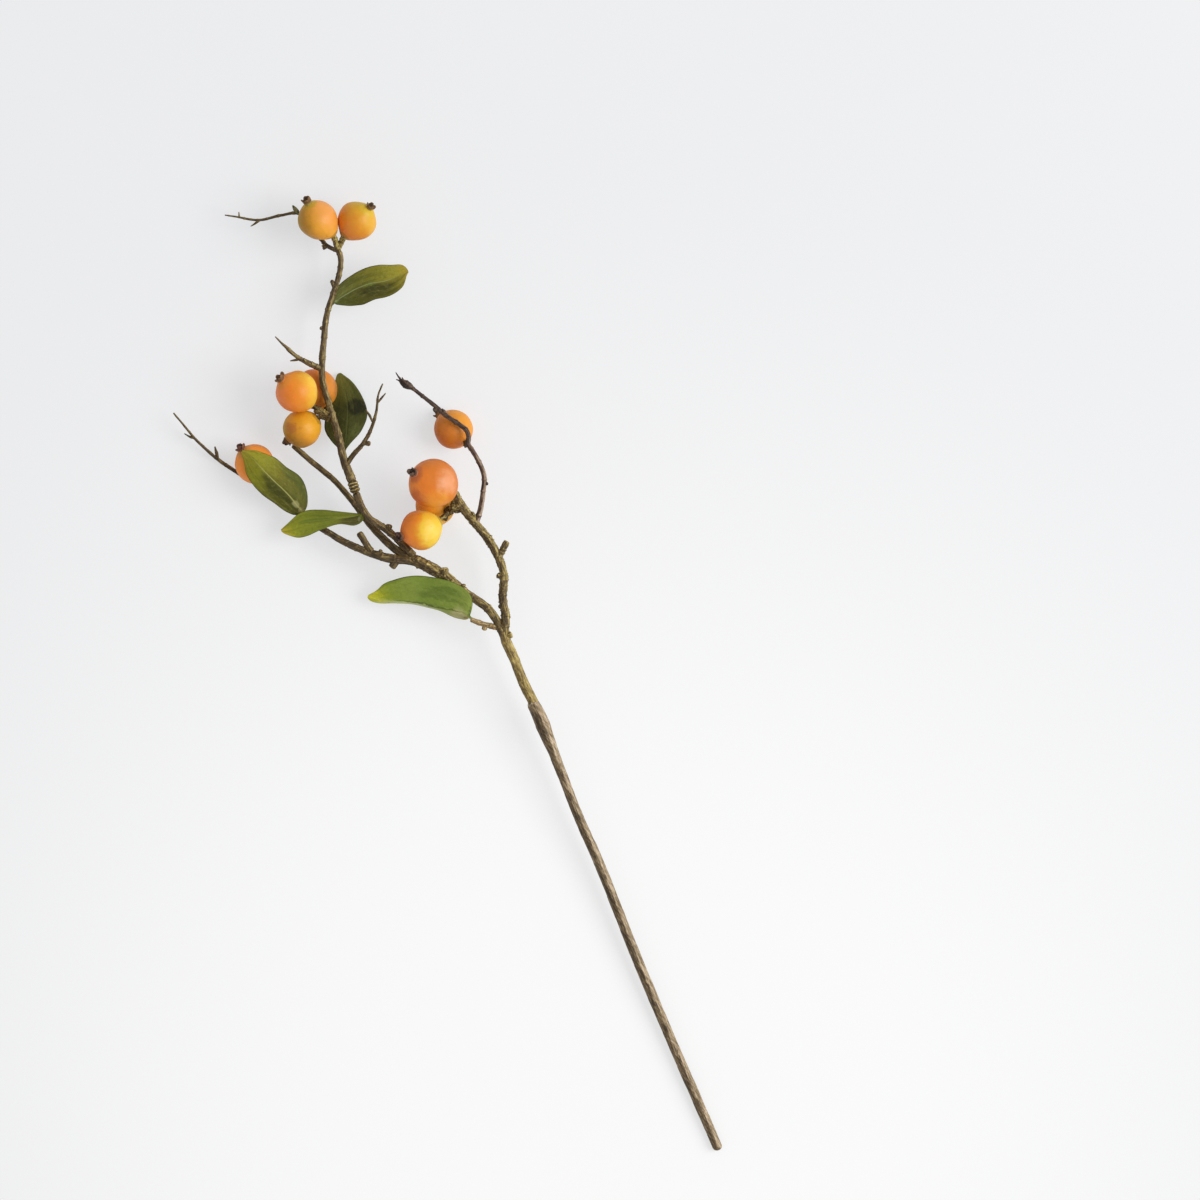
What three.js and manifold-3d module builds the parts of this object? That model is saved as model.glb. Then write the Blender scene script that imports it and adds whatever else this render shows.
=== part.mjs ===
// A crabapple sprig, cut and laid down on a flat surface. Millimetres. +Z is up off the surface, +Y runs
// from the cut end to the crown, and +X is to the right seen from above. Every route is given from the
// main fork, which stands over x = 0, y = 0. Heights count from the surface.

import * as THREE from "three";
import { mergeVertices } from "three/addons/utils/BufferGeometryUtils.js";
import Module from "manifold-3d";

const wasm = await Module();
wasm.setup();

// The middle of the sprig's footprint, seen from the main fork. The finished sprig stands with it over
// the origin.
const FOOTPRINT_MIDDLE = [-34.5, -26];

// Clearance between neighbouring pieces.
const GAP = 0.3;

// Faces: how finely the round shapes are divided.
const RING_SPACING = 6;
const STEM_RING_SPACING = 12;
const COLLAR_RING_SPACING = 1.5;
const BRANCH_SIDES = 8;
const TWIG_SIDES = 6;
const TWIG_RADIUS = 1.7;
const BERRY_SIDES = 16;
const BERRY_RINGS = 10;

// A berry is nearly round, with a hollow round the stalk and a low shoulder that rises to the eye.
const STALK_HOLLOW = 0.09;
const STALK_HOLLOW_SPREAD = 0.32;
const EYE_RISE = 0.05;
const EYE_RISE_SPREAD = 0.34;

// The dry crown on the eye of a berry: a short neck and five sepals.
const SEPALS = 5;
const NECK_RADIUS = 1.9;
const NECK_LENGTH = 2;
const SEPAL_REACH = 3.4;
const SEPAL_VALLEY = 2.3;
const SEPAL_LIFT = 3.2;
const CROWN_SUNK = 1.5;

// Stalks and leaves.
const STALK_RADIUS = 1.25;
const LEAF_SIDES = 12;
const LEAF_HALF_THICKNESS = 0.45;
const LEAF_STALK_RADIUS = 0.8;

const FINISH = {
  bark: { color: 0x8a7455, roughness: 0.85, metalness: 0 },
  moulded: { color: 0x8f7d45, roughness: 0.7, metalness: 0 },
  dark: { color: 0x5f473a, roughness: 0.7, metalness: 0 },
  stalk: { color: 0x8a7c38, roughness: 0.65, metalness: 0 },
  crown: { color: 0x5a3d2a, roughness: 0.8, metalness: 0 },
  orange: { color: 0xe8862e, roughness: 0.42, metalness: 0 },
  yellow: { color: 0xe0a52c, roughness: 0.42, metalness: 0 },
  leaf: { color: 0x66752a, roughness: 0.5, metalness: 0 },
};

const sprig = new THREE.Group();
sprig.name = "crabapple_sprig";
sprig.position.set(-FOOTPRINT_MIDDLE[0], -FOOTPRINT_MIDDLE[1], 0);

// Solids already grown, by name, and the same solids GAP larger, for cutting the next piece back from them.
const grown = {};
const clearance = {};

function curveThrough(route) {
  return new THREE.CatmullRomCurve3(route.map((point) => new THREE.Vector3(...point)));
}

// The value at a share of the way along an evenly spaced list.
function between(values, along) {
  const place = along * (values.length - 1);
  const before = Math.min(Math.floor(place), values.length - 2);
  return THREE.MathUtils.lerp(values[before], values[before + 1], place - before);
}

function solidOf(geometry) {
  geometry.deleteAttribute("normal");
  geometry.deleteAttribute("uv");
  const merged = mergeVertices(geometry, 1e-4);
  const corners = Array.from(merged.index.array);
  const faces = [];
  for (let i = 0; i < corners.length; i += 3) {
    const [a, b, c] = corners.slice(i, i + 3);
    if (a !== b && b !== c && c !== a) faces.push(a, b, c);
  }
  const mesh = new wasm.Mesh({
    numProp: 3,
    vertProperties: new Float32Array(merged.attributes.position.array),
    triVerts: new Uint32Array(faces),
  });
  return new wasm.Manifold(mesh);
}

function geometryOf(solid) {
  const mesh = solid.getMesh();
  const geometry = new THREE.BufferGeometry();
  geometry.setAttribute("position", new THREE.BufferAttribute(mesh.vertProperties, 3));
  geometry.setIndex(new THREE.BufferAttribute(mesh.triVerts, 1));
  geometry.computeVertexNormals();
  return geometry;
}

// A cut can leave crumbs beside the piece: the piece is the largest of what is left.
function largest(solid) {
  return solid.decompose().reduce((a, b) => (a.volume() > b.volume() ? a : b));
}

// A round rod along a route. Its radius runs through the given radii, and both its ends can be let out.
function rod(route, radii, letOut, spacing = RING_SPACING) {
  const curve = curveThrough(route);
  const rings = Math.max(2, Math.round(curve.getLength() / spacing));
  const sides = Math.max(...radii) > TWIG_RADIUS ? BRANCH_SIDES : TWIG_SIDES;
  const frames = curve.computeFrenetFrames(rings, false);
  const geometry = new THREE.CylinderGeometry(1, 1, 1, sides, rings);
  const corners = geometry.attributes.position;
  for (let i = 0; i < corners.count; i++) {
    const ring = Math.round((corners.getY(i) + 0.5) * rings);
    const end = ring === 0 ? -1 : Number(ring === rings);
    const radius = between(radii, ring / rings) + letOut;
    const corner = curve.getPointAt(ring / rings);
    corner.addScaledVector(frames.tangents[ring], end * letOut);
    corner.addScaledVector(frames.binormals[ring], corners.getX(i) * radius);
    corner.addScaledVector(frames.normals[ring], corners.getZ(i) * radius);
    corners.setXYZ(i, corner.x, corner.y, corner.z);
  }
  return solidOf(geometry);
}

// A knob, stub or bud: a short rod that swells a little and then closes to a rounded or pointed tip.
function knob({ from, to, radius, tip = 0.6 }, letOut) {
  return rod([from, to], [radius, radius * 1.1, radius * tip], letOut);
}

// A length of wood: its rod, with knobs and with thin shoots such as buds.
function woodOf({ route, radii, spacing, knobs = [], shoots = [] }, letOut) {
  let solid = rod(route, radii, letOut, spacing);
  for (const one of knobs) solid = solid.add(knob(one, letOut));
  for (const one of shoots) solid = solid.add(rod(one.route, one.radii, letOut));
  return solid;
}

function show(name, solid, finish) {
  const mesh = new THREE.Mesh(geometryOf(solid), new THREE.MeshStandardMaterial(finish));
  mesh.name = name;
  sprig.add(mesh);
}

// Adds a piece, cut back from the named neighbours so that the clearance stays between them.
function addPiece(name, finish, make, neighbours = []) {
  let solid = make(0);
  for (const neighbour of neighbours) solid = solid.subtract(clearance[neighbour]);
  grown[name] = largest(solid);
  clearance[name] = make(GAP);
  show(name, grown[name], finish);
}

function addWood(name, finish, shape, neighbours) {
  addPiece(name, finish, (letOut) => woodOf(shape, letOut), neighbours);
}

// Turns a shape made along +Y to a direction and carries it to a place.
function aim(geometry, direction, place) {
  const up = new THREE.Vector3(0, 1, 0);
  const turn = new THREE.Quaternion().setFromUnitVectors(up, new THREE.Vector3(...direction).normalize());
  return geometry.applyQuaternion(turn).translate(...place);
}

// A berry round the origin, stalk end down and eye up, before it is aimed.
function berryBody(radius, letOut) {
  const profile = [];
  for (let ring = 0; ring <= BERRY_RINGS; ring++) {
    const angle = (Math.PI * ring) / BERRY_RINGS;
    const hollow = STALK_HOLLOW * Math.exp(-((angle / STALK_HOLLOW_SPREAD) ** 2));
    const rise = EYE_RISE * Math.exp(-(((Math.PI - angle) / EYE_RISE_SPREAD) ** 2));
    const reach = radius * (1 - hollow + rise) + letOut;
    const onAxis = ring === 0 || ring === BERRY_RINGS;
    profile.push(new THREE.Vector2(onAxis ? 0 : reach * Math.sin(angle), -reach * Math.cos(angle)));
  }
  return new THREE.LatheGeometry(profile, BERRY_SIDES);
}

// The crown stands on the eye: a neck, then a rim drawn out into sepals round a shallow cup.
function crownBody(radius, letOut) {
  const eye = radius * (1 + EYE_RISE);
  const profile = [
    new THREE.Vector2(0, eye - CROWN_SUNK),
    new THREE.Vector2(NECK_RADIUS * 1.15 + letOut, eye - CROWN_SUNK),
    new THREE.Vector2(NECK_RADIUS + letOut, eye + NECK_LENGTH * 0.6),
    new THREE.Vector2(SEPAL_REACH + letOut, eye + NECK_LENGTH),
    new THREE.Vector2(SEPAL_REACH + letOut, eye + SEPAL_LIFT + letOut),
    new THREE.Vector2(NECK_RADIUS * 0.8, eye + NECK_LENGTH + letOut),
    new THREE.Vector2(0, eye + NECK_LENGTH * 0.8 + letOut),
  ];
  const geometry = new THREE.LatheGeometry(profile, SEPALS * 2);
  const corners = geometry.attributes.position;
  for (let i = 0; i < corners.count; i++) {
    const across = Math.hypot(corners.getX(i), corners.getZ(i));
    if (across < SEPAL_REACH) continue;
    const turn = Math.atan2(corners.getZ(i), corners.getX(i));
    const sepal = 0.5 + 0.5 * Math.cos(turn * SEPALS);
    const reach = THREE.MathUtils.lerp(SEPAL_VALLEY, SEPAL_REACH, sepal) / SEPAL_REACH;
    corners.setX(i, corners.getX(i) * reach);
    corners.setZ(i, corners.getZ(i) * reach);
  }
  return geometry;
}

function addBerry({ name, at, radius, eye, finish }) {
  const body = (letOut) => solidOf(aim(berryBody(radius, letOut), eye, at));
  const crown = (letOut) => solidOf(aim(crownBody(radius, letOut), eye, at));
  addPiece(name, finish, body);
  addPiece(`${name}_crown`, FINISH.crown, crown, [name]);
}

// A leaf in one piece with its stalk. The blade's halves are given as seen from above at rings that crowd
// towards the blade's two ends, and each half slopes up or down from the midrib.
function leafBody({ stalk, midrib, left, right, slopes }, letOut) {
  const stalkCurve = curveThrough([...stalk, midrib[0]]);
  const blade = curveThrough(midrib);
  const stalkRings = 2;
  const bladeRings = left.length - 1;
  const rings = stalkRings + bladeRings;
  const geometry = new THREE.CylinderGeometry(1, 1, 1, LEAF_SIDES, rings);
  const corners = geometry.attributes.position;
  for (let i = 0; i < corners.count; i++) {
    const ring = Math.round((corners.getY(i) + 0.5) * rings);
    const onBlade = ring >= stalkRings;
    const share = onBlade
      ? 0.5 - 0.5 * Math.cos((Math.PI * (ring - stalkRings)) / bladeRings)
      : ring / stalkRings;
    const curve = onBlade ? blade : stalkCurve;
    const along = curve.getTangentAt(share);
    const aside = new THREE.Vector3(0, 0, 1).cross(along).normalize();
    const upward = new THREE.Vector3().crossVectors(along, aside);
    const across = -corners.getX(i);
    const station = onBlade ? ring - stalkRings : 0;
    const half = onBlade ? (across > 0 ? left : right)[station] : LEAF_STALK_RADIUS;
    const fall = Math.atan(across > 0 ? slopes[0] : slopes[1]);
    const slope = onBlade ? fall * Math.min(1, Math.abs(across) * 2) : 0;
    const thickness = (onBlade && station > 0 ? LEAF_HALF_THICKNESS : LEAF_STALK_RADIUS) + letOut;
    const reach = across * (half + letOut);
    const corner = curve.getPointAt(share);
    corner.addScaledVector(aside, reach - Math.sign(across) * Math.sin(slope) * corners.getZ(i) * thickness);
    const level = Math.abs(reach) * Math.tan(slope) + Math.cos(slope) * corners.getZ(i) * thickness;
    corner.addScaledVector(upward, level);
    corners.setXYZ(i, corner.x, corner.y, corner.z);
  }
  return solidOf(geometry);
}

function addLeaf(name, shape, neighbours) {
  addPiece(name, FINISH.leaf, (letOut) => leafBody(shape, letOut), neighbours);
}

// The wrapped stem lies on the surface at its cut end and rises to the crown. It thickens into the
// wrapped collar.
addWood("main_stem", FINISH.bark, {
  route: [
    [134, -322.3, 3.1], [104, -253, 5.5], [83, -203, 8], [59.3, -143.3, 11.5], [46.6, -114.5, 13.8],
    [37.9, -92, 15.5],
    [28.2, -67, 18], [22.3, -52, 19.3], [17.4, -42, 20],
  ],
  radii: [
    3, 3, 3, 3, 3, 3.05, 3.05, 3.05, 3.05, 3.05, 3.1, 3.1, 3.1, 3.1, 3.1, 3.1, 3.2, 3.2, 3.2, 3.2,
    3.2, 3.3, 3.35, 3.9, 4.8,
    3.9,
  ],
  spacing: STEM_RING_SPACING,
});

addWood("main_fork", FINISH.moulded, {
  route: [[19.5, -46, 19.6], [12, -30, 21.5], [7, -17, 23], [2, -6, 24], [0, 0, 24.2]],
  radii: [3.3, 3.3, 3.2, 3.2, 3.5],
  knobs: [{ from: [1, -2.5, 24.2], to: [5.6, -1.2, 25.2], radius: 1.9, tip: 0.8 }],
}, ["main_stem"]);

addWood("left_branch", FINISH.moulded, {
  route: [
    [0, -1, 24.2], [-4.5, 8, 24], [-10, 15, 24], [-24, 25, 23.8], [-36, 34.6, 23.2],
    [-48.4, 41.7, 22.6], [-58.4, 46.8, 22.2],
  ],
  radii: [2.9, 2.7, 2.5, 2.45, 2.45, 2.8, 3.3, 3.8, 3.8, 3.2],
  knobs: [
    { from: [-36, 33.5, 23.2], to: [-36.4, 39.8, 25], radius: 2.5, tip: 0.8 },
    { from: [-24.5, 26.5, 24], to: [-25, 30, 25.6], radius: 1.2 },
    { from: [-53, 44.5, 23], to: [-53.5, 46, 26], radius: 1.6 },
  ],
}, ["main_fork"]);

addWood("right_branch", FINISH.moulded, {
  route: [
    [0.5, -1, 24.2], [1.5, 9, 25], [0, 22, 26.5], [0.5, 34, 27.4], [-1.5, 43, 28], [-8, 56, 28.5],
    [-17.4, 67.7, 28.5],
    [-25.8, 78.4, 27.8], [-30.2, 87, 26.6],
  ],
  radii: [2.6, 2.6, 2.5, 2.5, 2.6, 2.7, 2.8, 2.8],
  knobs: [
    { from: [-3, 46, 28], to: [2.5, 56.5, 30], radius: 1.7, tip: 0.9 },
    { from: [0, 34, 27.4], to: [-4.5, 35.5, 27.8], radius: 1.4 },
    { from: [0.5, 15, 25.8], to: [-3, 16.5, 26], radius: 1.2 },
    { from: [1, 9, 25], to: [4.5, 9.5, 25.4], radius: 1 },
  ],
}, ["main_fork", "left_branch"]);

addWood("right_twig", FINISH.dark, {
  route: [
    [-16.6, 66.8, 28.5], [-14.6, 72.5, 29.8], [-12.6, 81, 30.8], [-11.6, 90.7, 31.5], [-12, 96.5, 31.5],
    [-14.4, 105.1, 30.7], [-17.8, 111.9, 29.8], [-21, 116.7, 29.2], [-21.9, 120.6, 28.7],
    [-23.4, 125.6, 27.9],
    [-27, 129.6, 27.6], [-34.7, 134.6, 28], [-45.3, 142.8, 29.9], [-56, 151.4, 32],
  ],
  radii: [1.6, 1.5, 1.5, 1.5, 1.4, 1.4, 1.25, 1.2],
  knobs: [
    { from: [-11.6, 91, 31.5], to: [-9.2, 91.6, 32], radius: 1.1 },
    { from: [-41, 139.2, 28.8], to: [-43, 136.6, 29.2], radius: 1.6 },
  ],
}, ["right_branch"]);

addWood("right_twig_bud", FINISH.dark, {
  route: [[-56.4, 151.7, 32.1], [-60.8, 154, 33], [-64.5, 156.5, 33.8]],
  radii: [1.3, 2.2, 2.1, 0.7],
  shoots: [
    { route: [[-62, 155, 33.3], [-64.5, 158, 34], [-66.5, 161, 34.5]], radii: [1, 0.7, 0.3] },
    { route: [[-62, 155, 33], [-66.5, 156.2, 33.5]], radii: [0.8, 0.3] },
  ],
}, ["right_twig"]);

addWood("low_limb", FINISH.bark, {
  route: [
    [-56, 44, 22], [-60, 44.6, 22.4], [-66.5, 45.2, 22.6], [-73, 46.4, 22.8], [-84, 49.8, 22],
    [-99, 56.3, 19.6],
    [-112, 64, 16], [-126, 73, 11.5], [-138, 82, 7.5], [-149, 90, 4.2], [-165, 99, 2.9], [-177, 107, 4.5],
    [-191.2, 119.9, 8], [-198.2, 128.2, 10], [-205, 136.2, 12],
  ],
  radii: [2.8, 2.7, 2.3, 2.1, 1.9, 1.7, 1.5, 1.25, 1.05, 0.8, 0.5],
  knobs: [
    { from: [-82, 50, 22.3], to: [-89.5, 62, 24], radius: 1.9, tip: 0.9 },
    { from: [-65.5, 45, 22.5], to: [-69.6, 39.9, 22.5], radius: 2.2, tip: 0.85 },
    { from: [-76.5, 47.5, 22.8], to: [-76, 51.5, 24], radius: 1.2 },
  ],
  shoots: [
    { route: [[-177.5, 107.5, 5], [-178.5, 111.5, 6], [-179.5, 115.5, 7]], radii: [0.7, 1.1, 0.4] },
    { route: [[-191.2, 119.9, 8], [-194, 121, 8.5], [-198.5, 123.5, 9]], radii: [0.6, 0.7, 0.3] },
  ],
}, ["left_branch"]);

addWood("spur", FINISH.bark, {
  route: [
    [-60, 46.4, 21.4], [-72, 55.8, 19.4], [-82.6, 66.7, 18.6], [-89.6, 76.2, 18.5], [-96.9, 85.4, 18.2],
    [-106, 95, 17.5],
    [-119, 105.9, 16.2], [-130.7, 116, 15],
  ],
  radii: [2.5, 2.4, 2.2, 2, 1.85, 1.8, 1.75, 1.65],
}, ["left_branch", "low_limb"]);

addWood("upper_limb", FINISH.bark, {
  route: [
    [-59, 51, 22.6], [-61, 53.2, 22.8], [-66.3, 58.6, 23.8], [-71.5, 62.9, 25.4], [-76.9, 66.7, 27.6],
    [-82.6, 70.6, 29.8],
    [-87.1, 76.5, 30.4], [-91.3, 86.4, 30.6],
  ],
  radii: [2.6, 2.5, 2.3, 2.15, 2.1, 2.1, 2.2, 2.5],
  knobs: [{ from: [-71.4, 62.6, 25.6], to: [-70.4, 67.2, 27.2], radius: 2.1 }],
}, ["left_branch", "low_limb", "spur"]);

// Three low rings round the joint between the two lengths of the upper branch.
addWood("ringed_collar", FINISH.moulded, {
  route: [[-91.2, 86.2, 30.6], [-92.6, 90, 30.4], [-93.8, 93.8, 30.2]],
  radii: [2.8, 3.3, 2.8, 3.3, 2.8, 3.3, 2.8],
  spacing: COLLAR_RING_SPACING,
}, ["upper_limb"]);

addWood("upper_branch", FINISH.bark, {
  route: [
    [-93.6, 93.2, 30.2], [-99, 108, 29.5], [-103, 125, 28.4], [-108, 141, 27.8], [-111.7, 154, 27.4],
    [-112.4, 163, 27],
    [-111.3, 181, 25.8], [-109.7, 195, 25.2], [-106.2, 208, 25], [-102, 220.9, 25], [-100.9, 232, 24.6],
    [-103.2, 239.3, 24],
  ],
  radii: [2.9, 2.4, 2.1, 2, 2, 1.9, 1.8, 1.7, 1.7],
  knobs: [
    { from: [-110.7, 188, 25.4], to: [-113.5, 188.8, 25.6], radius: 1.1 },
    { from: [-104.3, 213, 25], to: [-106.4, 218.5, 25.6], radius: 1.2 },
  ],
}, ["ringed_collar"]);

addWood("bud_twig", FINISH.bark, {
  route: [
    [-97.5, 103.5, 29.8], [-93.2, 109.4, 31.5], [-86.5, 117.1, 34], [-82, 125, 36.5], [-78.6, 136, 39],
    [-76.8, 147, 41],
    [-74.3, 153.8, 42.5],
  ],
  radii: [1.7, 1.45, 1.15, 0.9, 0.7, 0.4],
  knobs: [{ from: [-87.2, 116.6, 34], to: [-82, 116.2, 35], radius: 1.4, tip: 0.9 }],
  shoots: [
    { route: [[-77.5, 142, 40], [-72.5, 148, 41.5]], radii: [0.6, 0.7, 0.3] },
    { route: [[-80.5, 130, 37.7], [-82.5, 134, 38.5], [-85, 138, 39]], radii: [0.6, 0.9, 0.3] },
  ],
}, ["upper_branch"]);

addWood("thorn_twig", FINISH.bark, {
  route: [[-112.2, 163, 27], [-118.2, 165.7, 28], [-126.8, 170.1, 30.5], [-136, 178, 34.5], [-141, 183, 37]],
  radii: [1.8, 1.6, 1.45, 1.1, 0.6, 0.35],
  shoots: [{ route: [[-125.5, 169.3, 30.2], [-132, 168.1, 31]], radii: [0.8, 0.8, 0.3] }],
}, ["upper_branch"]);

addWood("top_twig", FINISH.bark, {
  route: [
    [-102.6, 236.3, 24.3], [-107, 238.3, 20.5], [-110.3, 240.8, 17.5], [-112.9, 243.6, 15],
    [-118, 249.7, 12.8],
    [-127, 260, 12.3], [-138, 259, 13], [-152, 256.2, 14], [-166, 258, 15.5], [-173, 259, 16.5],
  ],
  radii: [1.4, 1.3, 1.2, 1.05, 0.95, 0.85, 0.7, 0.4],
  knobs: [{ from: [-110.3, 241, 17.5], to: [-111.3, 238.6, 17.8], radius: 1.5 }],
  shoots: [
    { route: [[-126.8, 259.6, 12.5], [-128.8, 262, 13.2], [-131, 265.2, 14]], radii: [0.9, 1.5, 1.3, 0.35] },
    { route: [[-151, 256.2, 14], [-157, 252, 15]], radii: [0.6, 0.7, 0.3] },
    { route: [[-164, 257.5, 15.2], [-164.3, 261, 16]], radii: [0.5, 0.5, 0.3] },
  ],
}, ["upper_branch"]);

addWood("leaf_1_twig", FINISH.moulded, {
  route: [[-1, 2.5, 24], [-7, 3.7, 23.6], [-13, 5.2, 23.2], [-20.3, 8, 23]],
  radii: [1.9, 1.7, 1.55, 1.5],
  knobs: [{ from: [-11, 4.5, 23.2], to: [-12, 1, 22.8], radius: 1.5, tip: 0.8 }],
}, ["main_fork", "left_branch", "right_branch"]);

// Ten berries in four groups. Each eye is the direction in which the berry's crown points. The stalk
// comes in opposite the eye, but for the berries that hang at a slant, which have a direction of their
// own.
const berries = [
  {
    name: "top_left_berry", at: [-115, 255, 30.8], radius: 12.4,
    eye: [-0.4, 0.76, 0.52], finish: FINISH.yellow,
  },
  {
    name: "top_right_berry", at: [-90.5, 254.8, 25.8], radius: 12.1,
    eye: [0.56, 0.58, 0.6], finish: FINISH.orange,
  },
  {
    name: "middle_upper_berry", at: [-128, 149, 36], radius: 13,
    eye: [-0.59, 0.5, 0.64], finish: FINISH.orange,
  },
  {
    name: "middle_lower_berry", at: [-125, 126.1, 23.5], radius: 11.7,
    eye: [-0.62, -0.48, -0.58], finish: FINISH.yellow,
  },
  {
    name: "middle_back_berry", at: [-115.9, 150.9, 12.7], radius: 12.6,
    eye: [-0.95, -0.1, -0.25], finish: FINISH.orange,
  },
  {
    name: "left_berry", at: [-154.5, 104.5, 12.7], radius: 12.3,
    eye: [-0.53, 0.66, 0.53], finish: FINISH.orange,
  },
  {
    name: "right_large_berry", at: [-43, 92, 39.6], radius: 15.5,
    eye: [-0.67, 0.36, 0.65], finish: FINISH.orange,
  },
  {
    name: "right_lower_berry", at: [-50.6, 63.2, 31.5], radius: 12.4,
    eye: [-0.87, -0.25, 0.42], finish: FINISH.yellow,
  },
  {
    name: "right_back_berry", at: [-42.2, 78.2, 12.4], radius: 12.3,
    eye: [-0.5, 0.6, -0.6], finish: FINISH.orange,
  },
  {
    name: "inner_berry", at: [-31, 126, 12.3], radius: 12.1,
    eye: [-0.6, 0.64, -0.48], finish: FINISH.orange,
  },
];
const stalkDirections = {
  top_left_berry: [0.7, -0.66, -0.28],
  top_right_berry: [-0.62, -0.72, 0.1],
  middle_lower_berry: [0.8, 0.55, 0.24],
  middle_back_berry: [0.62, -0.56, 0.55],
  right_large_berry: [0.62, -0.62, -0.5],
  right_lower_berry: [0.84, 0.5, -0.1],
};
berries.forEach(addBerry);

const byName = Object.fromEntries(berries.map((berry) => [berry.name, berry]));

// The place, a share of the radius out from a berry's middle, on the side of its stalk.
function stalkSide(name, share) {
  const { at, radius, eye } = byName[name];
  const direction = stalkDirections[name] ?? eye.map((part) => -part);
  const out = new THREE.Vector3(...direction).normalize().multiplyScalar(radius * share);
  return out.add(new THREE.Vector3(...at)).toArray();
}

// A knob on a branch with a stalk to each berry of the group.
function addStalks(name, { knuckle = [], stalks }, wood) {
  const make = (letOut) => {
    const parts = knuckle.map((one) => knob(one, letOut));
    for (const [berry, route] of Object.entries(stalks)) {
      const whole = [...route, stalkSide(berry, 1.05), stalkSide(berry, 0.7)];
      parts.push(rod(whole, [STALK_RADIUS * 1.2, STALK_RADIUS, STALK_RADIUS], letOut));
    }
    return parts.reduce((all, part) => all.add(part));
  };
  addPiece(name, FINISH.stalk, make, [...wood, ...Object.keys(stalks)]);
}

addStalks("top_stalks", {
  stalks: {
    top_left_berry: [[-102.8, 237.2, 24.2], [-103.4, 240.5, 25]],
    top_right_berry: [[-102.6, 237.4, 24], [-101, 240.8, 24.4]],
  },
}, ["upper_branch", "top_twig"]);

addStalks("middle_stalks", {
  knuckle: [{ from: [-106.5, 134.2, 27.8], to: [-117, 138.4, 26.8], radius: 2.3, tip: 0.8 }],
  stalks: {
    middle_upper_berry: [[-114, 137.6, 27]],
    middle_lower_berry: [[-111, 135, 27]],
    middle_back_berry: [[-110, 137, 26], [-108, 141, 22.5]],
  },
}, ["upper_branch"]);

addStalks("left_berry_stalk", {
  stalks: { left_berry: [[-143, 86, 6.2], [-144.5, 91, 8]] },
}, ["low_limb"]);

addStalks("right_stalks", {
  knuckle: [{ from: [-24.5, 78, 28], to: [-33.2, 77.3, 28.3], radius: 2.4, tip: 0.8 }],
  stalks: {
    right_large_berry: [[-31.6, 78.2, 28.3]],
    right_lower_berry: [[-32.4, 76.4, 28.2], [-35.4, 73.6, 28.6]],
    right_back_berry: [[-32, 77, 28], [-35.5, 75.5, 23.5]],
  },
}, ["right_branch"]);

addStalks("inner_berry_stalk", {
  stalks: { inner_berry: [[-20.8, 117.6, 29], [-22.8, 117.4, 24]] },
}, ["right_twig"]);

// Five leaves. The blade's halves are [left, right] of the midrib, looking from the stalk to the tip.
addLeaf("leaf_1", {
  stalk: [[-19.6, 8.2, 23.2]],
  midrib: [
    [-21, 9.6, 23], [-27, 12.2, 23], [-35, 13.9, 22.2], [-45.3, 15.8, 20.6], [-55.6, 18, 18.2], [-68, 19, 15],
    [-77, 19.6, 12.6], [-84.4, 22, 10.6],
  ],
  left: [0.8, 3.2, 3.9, 1.3, 0.9, 1, 1.6, 2.4, 0.5],
  right: [0.8, 9.8, 16, 18.2, 17.6, 14.4, 10, 5.4, 0.5],
  slopes: [-1.2, 0.45],
}, ["leaf_1_twig", "left_branch"]);

addLeaf("leaf_2", {
  stalk: [[-124.5, 71.8, 12.2]],
  midrib: [
    [-124.5, 75.2, 14.2], [-132.7, 83.9, 19.6], [-141, 91.6, 24.6], [-148, 99.2, 27.4], [-152.2, 104.8, 28.4],
    [-155.8, 109, 28], [-161.6, 113.2, 26.2],
  ],
  left: [0.8, 5.4, 8.8, 10.6, 11.4, 10.6, 8.4, 3.6, 0.4],
  right: [0.8, 5.6, 10.2, 13, 12, 10.3, 5.4, 1.3, 0.4],
  slopes: [-0.35, -0.25],
}, ["low_limb"]);

addLeaf("leaf_3", {
  stalk: [[-83.5, 73, 30]],
  midrib: [[-86, 72.8, 28.5], [-98, 71, 25.5], [-113, 69.5, 23], [-126, 68, 20.5], [-138, 63.3, 16.5]],
  left: [0.8, 3.8, 5.6, 3.6, 5.6, 8.8, 8.6, 4, 0.4],
  right: [0.8, 1, 2.5, 4.5, 6.5, 6.7, 3.1, 1.2, 0.4],
  slopes: [-0.3, -0.2],
}, ["upper_limb", "spur"]);

addLeaf("leaf_4", {
  stalk: [[-98, 106, 29.5], [-98.7, 109.5, 25.5]],
  midrib: [
    [-99, 112, 21], [-98, 120, 15], [-97.6, 130, 10], [-97, 140, 6.2],
    [-98.8, 150, 3.8], [-101.6, 160.8, 2.6],
  ],
  left: [0.8, 4.6, 8.6, 13, 13, 9.4, 5.8, 2.6, 0.4],
  right: [0.8, 1.2, 3.8, 9.8, 12.8, 9.8, 6, 2.2, 0.4],
  slopes: [-0.12, -0.12],
}, ["upper_branch", "bud_twig"]);

addLeaf("leaf_5", {
  stalk: [[-108.2, 199.5, 25], [-106.8, 202.4, 23.8]],
  midrib: [
    [-105, 204.6, 22], [-98.4, 209, 20.5], [-91.5, 213, 20], [-82, 216.5, 20.8],
    [-73, 218, 21.2], [-59, 224, 19],
  ],
  left: [0.8, 3.6, 7, 8.6, 10, 10.4, 7.6, 5, 0.4],
  right: [0.8, 3.4, 7.6, 10.8, 10.5, 9.8, 7.3, 2, 0.4],
  slopes: [0.15, 0.2],
}, ["upper_branch"]);

export default sprig;
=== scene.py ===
import math

import bpy
import numpy as np
from mathutils import Matrix, Vector


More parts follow.
